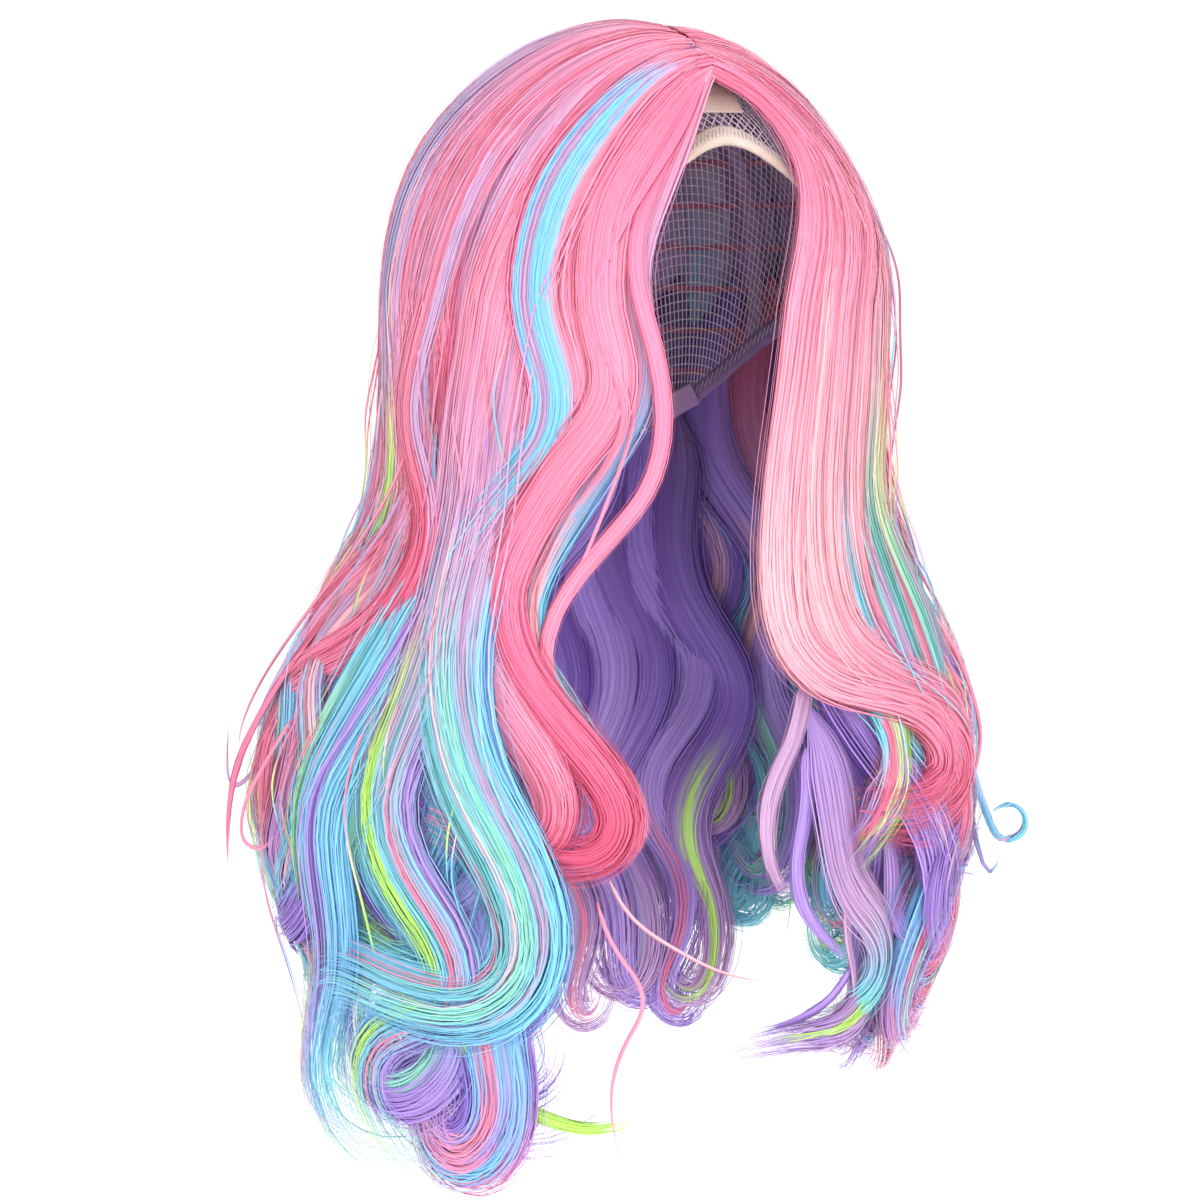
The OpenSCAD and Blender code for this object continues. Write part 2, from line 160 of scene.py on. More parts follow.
def surface(azimuth, z, inset=0.0):
    """A point of the hair's outer surface, moved in towards the head by inset."""
    azimuth, z = np.broadcast_arrays(np.asarray(azimuth, float), np.asarray(z, float))
    width, depth, centre_x, centre_y = envelope(z)
    a = np.radians(azimuth)
    point = np.stack([centre_x + width * np.sin(a), centre_y - depth * np.cos(a), z], axis=-1)
    return point - outward(point) * np.asarray(inset)[..., None]


def outward(point):
    """The direction away from the head: level beside the fall and radial over the dome."""
    z = point[..., 2]
    centre_y = envelope(z)[3]
    middle = np.stack([np.zeros_like(z), 12 + (centre_y - 12) * smooth((EAR_Z - z) / 60),
                       np.minimum(z, EAR_Z - 3)], axis=-1)
    return unit(point - middle)


def drape(point, inset):
    """Moves points along their outward direction until they lie inset below the surface."""
    direction = outward(point)
    low = np.full(point.shape[:-1], -150.0)
    high = np.full(point.shape[:-1], 150.0)
    for _ in range(26):
        middle = (low + high) / 2
        trial = point + direction * middle[..., None]
        width, depth, centre_x, centre_y = envelope(trial[..., 2])
        reach = ((trial[..., 0] - centre_x) / width) ** 2 \
            + ((trial[..., 1] - centre_y) / depth) ** 2
        outside = (reach > 1) | (trial[..., 2] > CROWN_LIFT)
        high = np.where(outside, middle, high)
        low = np.where(outside, low, middle)
    return point + direction * (low - inset)[..., None]


# ---- colours ----

def linear(r, g, b):
    """A colour from 0 to 255 sRGB, in the linear light that Blender uses."""
    c = np.array([r, g, b]) / 255.0
    return np.where(c <= 0.04045, c / 12.92, ((c + 0.055) / 1.055) ** 2.4)


DYES = {
    "hot": linear(241, 122, 160),
    "pink": linear(246, 150, 180),
    "blush": linear(252, 190, 200),
    # A deeper, darker pink that is painted shade where pink hair lies under other hair or curls
    # under at its hooked ends
    "pink_shade": linear(230, 92, 132),
    "lilac": linear(206, 164, 206),
    "lavender": linear(180, 146, 224),
    "violet": linear(142, 104, 204),
    # A dark purple that is painted shade at the roots of the deep inner layers
    "plum": linear(104, 70, 136),
    "sky": linear(134, 198, 246),
    "aqua": linear(130, 214, 234),
    "mint": linear(152, 228, 204),
    "teal": linear(104, 196, 188),
    "lime": linear(194, 242, 108),
    "butter": linear(238, 240, 186),
}


def dye(stops, along):
    """The colour at each share of a lock's length, from its (share, dye name) stops."""
    shares = [share for share, _ in stops]
    return np.stack([np.interp(along, shares, [DYES[name][k] for _, name in stops])
                     for k in range(3)], axis=-1)


# ---- meshes ----

def make_mesh(name, points, faces, material, colour=None, across_along=None):
    """A smooth mesh object from points in millimetres, with its own colour and strand UVs."""
    mesh = bpy.data.meshes.new(name)
    faces = np.asarray(faces, dtype=np.int32)
    mesh.vertices.add(len(points))
    mesh.vertices.foreach_set("co", (np.asarray(points) * MM).astype(np.float32).ravel())
    mesh.loops.add(faces.size)
    mesh.loops.foreach_set("vertex_index", faces.ravel())
    mesh.polygons.add(len(faces))
    mesh.polygons.foreach_set("loop_start", np.arange(len(faces), dtype=np.int32) * faces.shape[1])
    mesh.update(calc_edges=True)
    mesh.validate()
    mesh.polygons.foreach_set("use_smooth", np.ones(len(mesh.polygons), dtype=bool))
    loop_points = np.empty(len(mesh.loops), dtype=np.int32)
    mesh.loops.foreach_get("vertex_index", loop_points)
    if colour is not None:
        layer = mesh.color_attributes.new("strand_colour", "FLOAT_COLOR", "POINT")
        rgba = np.ones((len(points), 4), dtype=np.float32)
        rgba[:, :3] = colour
        layer.data.foreach_set("color", rgba.ravel())
    if across_along is not None:
        layer = mesh.uv_layers.new(name="strand")
        layer.data.foreach_set("uv", across_along[loop_points].astype(np.float32).ravel())
    mesh.materials.append(material)
    piece = bpy.data.objects.new(name, mesh)
    bpy.context.scene.collection.objects.link(piece)
    return piece


def grid_faces(rows, cols, closed=False):
    """The quads of one grid of points, row by row, joined round where closed."""
    wide = cols if closed else cols - 1
    j, i = np.meshgrid(np.arange(rows - 1), np.arange(wide), indexing="ij")
    a = (j * cols + i).ravel()
    b = (j * cols + (i + 1) % cols).ravel()
    return np.stack([a, b, b + cols, a + cols], axis=1)


class Batch:
    """Collects grids of quads until they become one mesh."""

    def __init__(self):
        self.points, self.faces, self.colours, self.uvs = [], [], [], []
        self.count = 0

    def add(self, points, faces, colours, uvs):
        self.points.append(points.reshape(-1, 3))
        self.faces.append(faces + self.count)
        self.colours.append(np.broadcast_to(colours, points.shape).reshape(-1, 3))
        self.uvs.append(uvs.reshape(-1, 2))
        self.count += self.points[-1].shape[0]

    def make(self, name, material):
        return make_mesh(name, np.concatenate(self.points), np.concatenate(self.faces), material,
                         np.concatenate(self.colours), np.concatenate(self.uvs))


# ---- materials ----

def new_material(name, roughness, specular=0.5, anisotropy=0.0, sheen=0.0):
    """A material with its Principled node and a small helper for more nodes."""
    material = bpy.data.materials.new(name)
    material.use_nodes = True
    nodes, links = material.node_tree.nodes, material.node_tree.links
    shader = nodes["Principled BSDF"]
    shader.inputs["Roughness"].default_value = roughness
    shader.inputs["Specular IOR Level"].default_value = specular
    shader.inputs["Anisotropic"].default_value = anisotropy
    shader.inputs["Sheen Weight"].default_value = sheen
    return SimpleNamespace(material=material, nodes=nodes, links=links, shader=shader)


def noise(made, source, scale, detail, stretch=(1, 1, 1)):
    """Noise over a coordinate, stretched by a scale for each axis. Returns its factor."""
    mapping = made.nodes.new("ShaderNodeMapping")
    mapping.inputs["Scale"].default_value = stretch
    made.links.new(source, mapping.inputs["Vector"])
    texture = made.nodes.new("ShaderNodeTexNoise")
    texture.inputs["Scale"].default_value = scale
    texture.inputs["Detail"].default_value = detail
    made.links.new(mapping.outputs["Vector"], texture.inputs["Vector"])
    return texture.outputs["Fac"]


def remap(made, source, low, high):
    """Spreads the middle of a 0 to 1 value over low to high."""
    node = made.nodes.new("ShaderNodeMapRange")
    node.inputs["From Min"].default_value = 0.3
    node.inputs["From Max"].default_value = 0.7
    node.inputs["To Min"].default_value = low
    node.inputs["To Max"].default_value = high
    made.links.new(source, node.inputs["Value"])
    return node.outputs["Result"]


def tint(made, colour, factor):
    """A colour made brighter or darker by a factor."""
    node = made.nodes.new("ShaderNodeHueSaturation")
    made.links.new(factor, node.inputs["Value"])
    if isinstance(colour, tuple):
        node.inputs["Color"].default_value = (*colour, 1)
    else:
        made.links.new(colour, node.inputs["Color"])
    return node.outputs["Color"]


def bump(made, height, strength, distance):
    """Links a height to the shader's normal."""
    node = made.nodes.new("ShaderNodeBump")
    node.inputs["Strength"].default_value = strength
    node.inputs["Distance"].default_value = distance
    made.links.new(height, node.inputs["Height"])
    made.links.new(node.outputs["Normal"], made.shader.inputs["Normal"])


def hair_material():
    """Glossy fibre: each strand's own colour, with fine lines that run along the lock."""
    made = new_material("hair_fibre", roughness=0.42, specular=0.45, anisotropy=0.55)
    strand = made.nodes.new("ShaderNodeUVMap")
    strand.uv_map = "strand"
    lines = noise(made, strand.outputs["UV"], 1.0, 3.0, (1.6, 0.012, 1))
    patches = noise(made, strand.outputs["UV"], 1.0, 2.0, (0.12, 0.02, 1))
    clumps = noise(made, strand.outputs["UV"], 1.0, 2.0, (0.5, 0.006, 1))
    own = made.nodes.new("ShaderNodeVertexColor")
    own.layer_name = "strand_colour"
    fine = tint(made, own.outputs["Color"], remap(made, lines, 0.93, 1.05))
    fine = tint(made, fine, remap(made, clumps, 0.86, 1.05))
    made.links.new(tint(made, fine, remap(made, patches, 0.92, 1.05)),
                   made.shader.inputs["Base Color"])
    made.links.new(remap(made, lines, 0.34, 0.52), made.shader.inputs["Roughness"])
    bump(made, clumps, 0.3, 0.0006)
    made.shader.inputs["Sheen Weight"].default_value = 0.12
    made.shader.inputs["Sheen Roughness"].default_value = 0.4
    return made.material


def woven_material(name, colour, threads, roughness=0.75, sheen=0.25):
    """Woven or knitted cloth: threads crossing at a real pitch, in object space."""
    made = new_material(name, roughness, specular=0.25, sheen=sheen)
    where = made.nodes.new("ShaderNodeTexCoord").outputs["Object"]
    heights = []
    for axis in ("X", "Z"):
        wave = made.nodes.new("ShaderNodeTexWave")
        wave.bands_direction = axis
        wave.inputs["Scale"].default_value = threads
        wave.inputs["Distortion"].default_value = 1.2
        wave.inputs["Detail"].default_value = 2.0
        made.links.new(where, wave.inputs["Vector"])
        heights.append(wave.outputs["Fac"])
    weave = made.nodes.new("ShaderNodeMath")
    weave.operation = "MULTIPLY"
    made.links.new(heights[0], weave.inputs[0])
    made.links.new(heights[1], weave.inputs[1])
    soil = remap(made, noise(made, where, 90.0, 4.0), 0.88, 1.08)
    cloth = tint(made, tuple(linear(*colour)), soil)
    made.links.new(tint(made, cloth, remap(made, weave.outputs["Value"], 0.82, 1.08)),
                   made.shader.inputs["Base Color"])
    bump(made, weave.outputs["Value"], 0.6, 0.0003)
    return made.material


def hard_material(name, colour, roughness, metallic=0.0, brushed=(1, 1, 1)):
    """Moulded plastic or spring steel, with fine grain and a little unevenness."""
    made = new_material(name, roughness)
    made.shader.inputs["Metallic"].default_value = metallic
    where = made.nodes.new("ShaderNodeTexCoord").outputs["Object"]
    grain = noise(made, where, 600.0, 3.0, brushed)
    made.links.new(tint(made, tuple(linear(*colour)), remap(made, grain, 0.92, 1.05)),
                   made.shader.inputs["Base Color"])
    made.links.new(remap(made, grain, roughness - 0.08, roughness + 0.1),
                   made.shader.inputs["Roughness"])
    bump(made, grain, 0.15, 0.0001)
    return made.material


def thread_material():
    """Twisted nylon thread, with fine ribs across it."""
    made = new_material("net_thread", roughness=0.55, specular=0.4, sheen=0.2)
    where = made.nodes.new("ShaderNodeTexCoord").outputs["Object"]
    twist = noise(made, where, 2400.0, 2.0)
    worn = noise(made, where, 60.0, 3.0)
    own = made.nodes.new("ShaderNodeVertexColor")
    own.layer_name = "strand_colour"
    dyed = tint(made, own.outputs["Color"], remap(made, worn, 0.9, 1.06))
    made.links.new(tint(made, dyed, remap(made, twist, 0.86, 1.06)),
                   made.shader.inputs["Base Color"])
    bump(made, twist, 0.4, 0.0002)
    return made.material


HAIR = hair_material()

# ---- camera, light and floor ----

# Lengths in this section are in metres
CAMERA_AZIMUTH = -25.0
CAMERA_ELEVATION = 8.0
CAMERA_DISTANCE = 1.35
FLOOR_DROP = 0.32
FLOOR_RADIUS = 30.0
LIT_POINT = Vector((0, 0, -0.25))


def towards(azimuth, elevation):
    """The direction from the wig to a camera or light."""
    a, e = math.radians(azimuth), math.radians(elevation)
    return Vector((math.sin(a) * math.cos(e), -math.cos(a) * math.cos(e), math.sin(e)))


def make_camera():
    """The camera looks from the wearer's right, a little above."""
    low, high = (Vector(corner) for corner in cad_box)
    aim = Vector((-0.023, 0.011, (low.z + high.z) / 2 - 0.004))
    away = towards(CAMERA_AZIMUTH, CAMERA_ELEVATION)
    data = bpy.data.cameras.new("camera")
    data.lens = 85.0
    data.sensor_width = 36.0
    camera = bpy.data.objects.new("camera", data)
    camera.location = aim + away * CAMERA_DISTANCE
    camera.rotation_euler = away.to_track_quat("Z", "Y").to_euler()
    bpy.context.scene.collection.objects.link(camera)
    bpy.context.scene.camera = camera


def make_light(name, azimuth, elevation, distance, size, watts):
    """A soft square light that faces the wig."""
    away = towards(azimuth, elevation)
    data = bpy.data.lights.new(name, "AREA")
    data.size = size
    data.energy = watts
    lamp = bpy.data.objects.new(name, data)
    lamp.location = LIT_POINT + away * distance
    lamp.rotation_euler = away.to_track_quat("Z", "Y").to_euler()
    bpy.context.scene.collection.objects.link(lamp)


def make_stage():
    """A pale round floor well below the wig, and even white light from all round."""
    floor_z = cad_box[0][2] - FLOOR_DROP
    rings, sides = 24, 96
    radius = FLOOR_RADIUS * np.linspace(0.0001, 1, rings)[:, None] ** 2
    turn = np.radians(np.arange(sides) * 360 / sides)[None]
    points = np.stack([radius * np.cos(turn), radius * np.sin(turn),
                       np.full((rings, sides), floor_z)], axis=-1).reshape(-1, 3)
    made = new_material("floor_paper", roughness=0.9, specular=0.1)
    where = made.nodes.new("ShaderNodeTexCoord").outputs["Object"]
    shade = remap(made, noise(made, where, 3.0, 2.0), 0.995, 1.0)
    made.links.new(tint(made, (1.0, 1.0, 1.0), shade), made.shader.inputs["Base Color"])
    floor = make_mesh("floor", points / MM, grid_faces(rings, sides, True), made.material)
    world = bpy.data.worlds.new("studio")
    world.use_nodes = True
    background = world.node_tree.nodes["Background"]
    background.inputs["Color"].default_value = (1.0, 1.0, 1.0, 1)
    background.inputs["Strength"].default_value = 1.06
    bpy.context.scene.world = world
    bpy.context.scene.view_settings.view_transform = "Standard"


make_camera()
make_stage()
make_light("key", -60, 40, 2.2, 1.2, 14)
make_light("fill", 40, 20, 2.4, 1.6, 7)
make_light("top", 150, 65, 2.2, 1.2, 12)
make_light("front", -12, 2, 2.0, 0.9, 13)

# ---- locks of hair ----

STEP = 4.0              # spacing of the points while a lock's line is worked out
RINGS = 46              # points along each finished lock
CORE_SIDES = 10         # points round the solid middle of a lock
DENSITY = 1.6           # strands made for each one that a lock asks for
PART_FRONT = -64        # the parting starts here, in front of the crown's middle
PART_BACK = 14.0        # and ends here, behind it


def heading_from(bends):
    """A heading for each length along the fall, from (length, heading) bends."""
    lengths = [length for length, _ in bends]
    headings = [heading for _, heading in bends]
    return lambda s: np.interp(s, lengths, headings)


def waves(swing, length, start, turn, turn_from, turn_len):
    """A heading that meanders more and more, then winds up in an end curl."""
    def heading(s):
        growing = swing * (0.4 + 0.6 * smooth(s / 200))
        curl = turn * smooth((s - turn_from) / turn_len)
        return growing * np.sin(2 * np.pi * (s - start) / length) + curl
    return heading


def fall_line(lock):
    """The lock's azimuths and heights, walked down from ear level along its heading."""
    s = np.arange(0, lock.length, STEP)
    heading = np.radians(lock.heading(s))
    z = lock.start_z - np.concatenate([[0], np.cumsum(np.cos(heading) * STEP)[:-1]])
    radius = envelope(z)[0]
    azimuth = lock.azimuth + np.degrees(
        np.concatenate([[0], np.cumsum(np.sin(heading) * STEP / radius)[:-1]]))
    return s, azimuth, z


def soften(line, times):
    """Rounds a line's corners, keeping its ends."""
    for _ in range(times):
        line = np.concatenate([line[:1], (line[:-2] + 2 * line[1:-1] + line[2:]) / 4, line[-1:]])
    return line


def resample(line, values, count):
    """The line and its values at count points, closer together where it bends."""
    step = np.linalg.norm(np.diff(line, axis=0), axis=1)
    travel = np.concatenate([[0], np.cumsum(step)])
    direction = unit(np.diff(line, axis=0))
    bend = np.zeros(len(line))
    bend[1:-1] = np.arccos(np.clip((direction[1:] * direction[:-1]).sum(axis=1), -1, 1))
    density = np.cumsum(np.concatenate([[0], step * 0.05]) + soften(bend, 4) * 2.2)
    at = np.interp(np.linspace(0, density[-1], count), density, travel)
    new = np.stack([np.interp(at, travel, line[:, k]) for k in range(3)], axis=1)
    return new, [np.interp(at, travel, value) for value in values], at / travel[-1]


def inset_at(lock, s):
    """How far a lock lies below the surface, from one depth or from (length, depth) pairs."""
    if isinstance(lock.inset, tuple):
        return np.interp(s, [length for length, _ in lock.inset], [d for _, d in lock.inset])
    return lock.inset + lock.sink * smooth(s / 120)


def lock_frame(lock):
    """Centre line, across and outward directions, width, thickness and share of each ring."""
    if lock.line is not None:
        step = np.linalg.norm(np.diff(lock.line, axis=0), axis=1)
        return ring_frame(lock, lock.line, np.concatenate([[0], np.cumsum(step)]) / step.sum(), 0)
    s, azimuth, z = fall_line(lock)
    sway = lock.depth_sway * smooth(s / 150) * np.sin(2 * np.pi * s / 120 + lock.phase)
    inset = inset_at(lock, s)
    fall = surface(azimuth, z, inset - sway)
    if lock.root is None:
        line = fall
        on_dome = 0
    else:
        root = np.array([lock.side * 1.6, lock.root, 0.0])
        root = drape(root + np.array([0, 0, 5.0]), 0)
        corners = [root] + [surface(a, z) for a, z in lock.via] + [fall[0]]
        dome = np.concatenate([b + (c - b) * np.linspace(0, 1, max(int(
            np.linalg.norm(c - b) / STEP), 2), endpoint=False)[:, None]
            for b, c in zip(corners[:-1], corners[1:])])
        dome = soften(dome, 20 if lock.via else 2)
        steps = len(dome)
        share = np.linspace(0, 1, steps)
        rise = 2.5 * (1 - smooth(share / 0.16))
        dome = drape(dome, lock.root_inset + (inset[0] - lock.root_inset) * share + rise)
        line = np.concatenate([dome, fall])
        on_dome = steps
    line = soften(line, 6)
    along = np.concatenate([np.linspace(0, 0.3, on_dome, endpoint=False),
                            0.3 + 0.7 * s / s[-1]]) if on_dome else s / s[-1]
    return ring_frame(lock, line, along, on_dome)


def ring_frame(lock, line, along, on_dome):
    """The rings of a lock along a finished line."""
    line, (along,), share = resample(line, [along], RINGS)
    outer = outward(line)
    travel = unit(np.gradient(line, axis=0))
    across = unit(np.cross(travel, outer))
    outer = np.cross(across, travel)
    opening = smooth(share / lock.opens_by)
    closing = 1 - lock.taper * smooth((along - 0.45) / 0.55)
    narrow = 0.42 if on_dome else 0.04
    width = lock.width * (narrow + (1 - narrow) * opening) * closing
    round_share = lock.flatness + (0.62 - lock.flatness) * smooth((along - 0.35) / 0.4)
    return SimpleNamespace(line=line, outer=outer, across=across, width=width / 2,
                           thick=width / 2 * round_share, share=share, along=along)


def lock_colour(lock, u, along, rng):
    """Colours for strands at places u across the lock (-1 to 1), along its length."""
    base = dye(lock.dyes, along)
    colour = np.repeat(base[None], len(u), axis=0)
    for low, high, name, start, end in lock.streaks:
        inside = smooth((u - low) / 0.12 + 0.5) * smooth((high - u) / 0.12 + 0.5)
        here = smooth((along - start) / 0.08 + 0.5) * smooth((end - along) / 0.08 + 0.5)
        weight = (inside[:, None] * here[None])[..., None]
        colour = colour * (1 - weight) + DYES[name] * weight
    shade = rng.normal(1.0, 0.04, (len(u), 1, 1))
    return np.clip(colour * shade, 0, 1)


def add_core(batch, lock, ring, rng):
    """The solid middle of a lock, which its strands lie on."""
    turn = np.radians(np.arange(CORE_SIDES) * 360 / CORE_SIDES)
    u, v = np.cos(turn), np.sin(turn)
    fade = min(0.3, 0.9 * (1 - lock.solid_to))
    tip = 1 - 0.97 * smooth((ring.share - lock.solid_to) / fade)
    radius = 0.9 * tip
    points = ring.line[:, None] \
        + ring.across[:, None] * (u[None] * (ring.width * radius)[:, None])[..., None] \
        + ring.outer[:, None] * (v[None] * (ring.thick * radius)[:, None])[..., None]
    # The core is a little darker than its strands: painted shade under them
    colour = lock_colour(lock, u, ring.along, rng).transpose(1, 0, 2) * 0.97
    travel = np.concatenate([[0], np.cumsum(np.linalg.norm(np.diff(ring.line, axis=0), axis=1))])
    uv = np.stack(np.broadcast_arrays(turn[None] * lock.width / 2, travel[:, None]), axis=-1)
    batch.add(points, grid_faces(RINGS, CORE_SIDES, True), colour, uv)


def add_strands(batch, lock, ring, count, rng):
    """Flat strands round the lock's surface, each with its own path, width and length."""
    turn = rng.uniform(0, 2 * np.pi, count)
    lift = rng.uniform(0.9, 1.04, count) + (rng.random(count) < 0.1) * rng.uniform(0, 0.5, count)
    slip = rng.normal(0, 0.03, count)
    wander = rng.normal(0, 0.07, (count, 2))
    rate = rng.uniform(1.0, 3.0, (count, 2))
    phase = rng.uniform(0, 2 * np.pi, (count, 2))
    share = ring.share[None]
    drift = wander[:, :, None] * np.sin(rate[:, :, None] * share[:, None] * 2 * np.pi
                                        + phase[:, :, None])
    loosen = 1 + 0.35 * smooth((share - 0.8) / 0.2) * rng.random((count, 1))
    drift = drift * (0.7 + 1.4 * smooth((share[:, None] - 0.3) / 0.6))
    u = (np.cos(turn) * lift)[:, None] * loosen + drift[:, 0] + slip[:, None]
    v = (np.sin(turn) * lift)[:, None] * loosen + drift[:, 1] * 0.6
    centre = ring.line[None] + ring.across[None] * (u * ring.width)[..., None] \
        + ring.outer[None] * (v * ring.thick)[..., None]
    spread = 0.07 if lock.solid_to < 0.8 else 0.025
    length = np.clip(rng.normal(1 - spread, spread, count), 0.7, 1.0)
    kept = share * length[:, None]
    cols = np.arange(count)[:, None]
    place = kept * (RINGS - 1)
    low = np.clip(place.astype(int), 0, RINGS - 2)
    part = (place - low)[..., None]
    # Rings are spaced by bend, so a share of the ring count keeps that spacing
    centre = centre[cols, low] * (1 - part) + centre[cols, low + 1] * part
    normal = unit(ring.across[None] * (np.cos(turn)[:, None] * ring.thick)[..., None]
                  + ring.outer[None] * (np.sin(turn)[:, None] * ring.width)[..., None])
    travel = unit(np.gradient(centre, axis=1))
    side = unit(np.cross(travel, normal))
    roll = rng.normal(0, 0.14, (count, 1, 1))
    side = side * np.cos(roll) + np.cross(travel, side) * np.sin(roll)
    tip = 1 - 0.85 * smooth((share - 0.78) / 0.22)
    half = rng.uniform(0.18, 0.42, (count, 1)) * tip
    points = np.stack([centre - side * half[..., None], centre + side * half[..., None]], axis=2)
    colour = lock_colour(lock, np.cos(turn), ring.along, rng)
    colour = np.repeat(colour[:, :, None], 2, axis=2)
    distance = np.cumsum(np.linalg.norm(np.diff(centre, axis=1, prepend=centre[:, :1]), axis=2),
                         axis=1)
    offset = rng.uniform(0, 400, (count, 1))
    uv = np.stack([np.stack([offset + 0 * distance, distance + offset], axis=-1),
                   np.stack([offset + 0.9 + 0 * distance, distance + offset], axis=-1)], axis=2)
    one = grid_faces(RINGS, 2)
    faces = (one[None] + (np.arange(count) * RINGS * 2)[:, None, None]).reshape(-1, 4)
    batch.add(points, faces, colour, uv)


def hair_lock(heading=(), **values):
    """A lock's settings, with the usual values for what isn't said. A heading is either a function
    of the length along the fall or its (length, heading) bends."""
    usual = dict(side=LEFT, root=None, azimuth=0.0, start_z=EAR_Z, length=360.0, inset=4.0,
                 root_inset=1.0, sink=4.0, width=26.0, flatness=0.3, taper=0.5, via=(), fine=False,
                 opens_by=0.22, line=None, solid_to=0.62, depth_sway=4.0, phase=0.0, streaks=(),
                 strands=110, dyes=((0, "hot"), (1, "pink")))
    usual.update(values, heading=heading if callable(heading) else heading_from(heading))
    return SimpleNamespace(**usual)


def side_of(name):
    """The side that a piece is on, from the end of its name."""
    return SIDES[name.rsplit("_", 1)[1]]


def body_at(azimuth):
    """The section that hair at this azimuth belongs to, and its side."""
    side = "left" if azimuth > 0 else "right"
    away = abs(azimuth)
    part = "front" if away < 54 else "side" if away < 114 else "back"
    return f"{part}_lock_{side}"


# ---- locks that shape the front, one by one ----

# A lock's heading and inset are (length, value) pairs, its via is (azimuth, height) pairs over the
# dome, its dyes are (share of the length, dye), and its streaks are (from, to, dye, start, end)

# Pink that is paler half way down as a painted highlight, and darker at the hooked end as painted
# shade
CURTAIN_PINK_WITH_PAINTED_LIGHT = ((0, "hot"), (0.3, "pink"), (0.5, "blush"), (0.68, "pink"), (0.85, "hot"),
                (1, "pink_shade"))
SKY_ROPE = ((0, "hot"), (0.05, "lilac"), (0.1, "sky"), (0.35, "sky"), (0.6, "aqua"), (0.8, "sky"),
            (1, "lavender"))

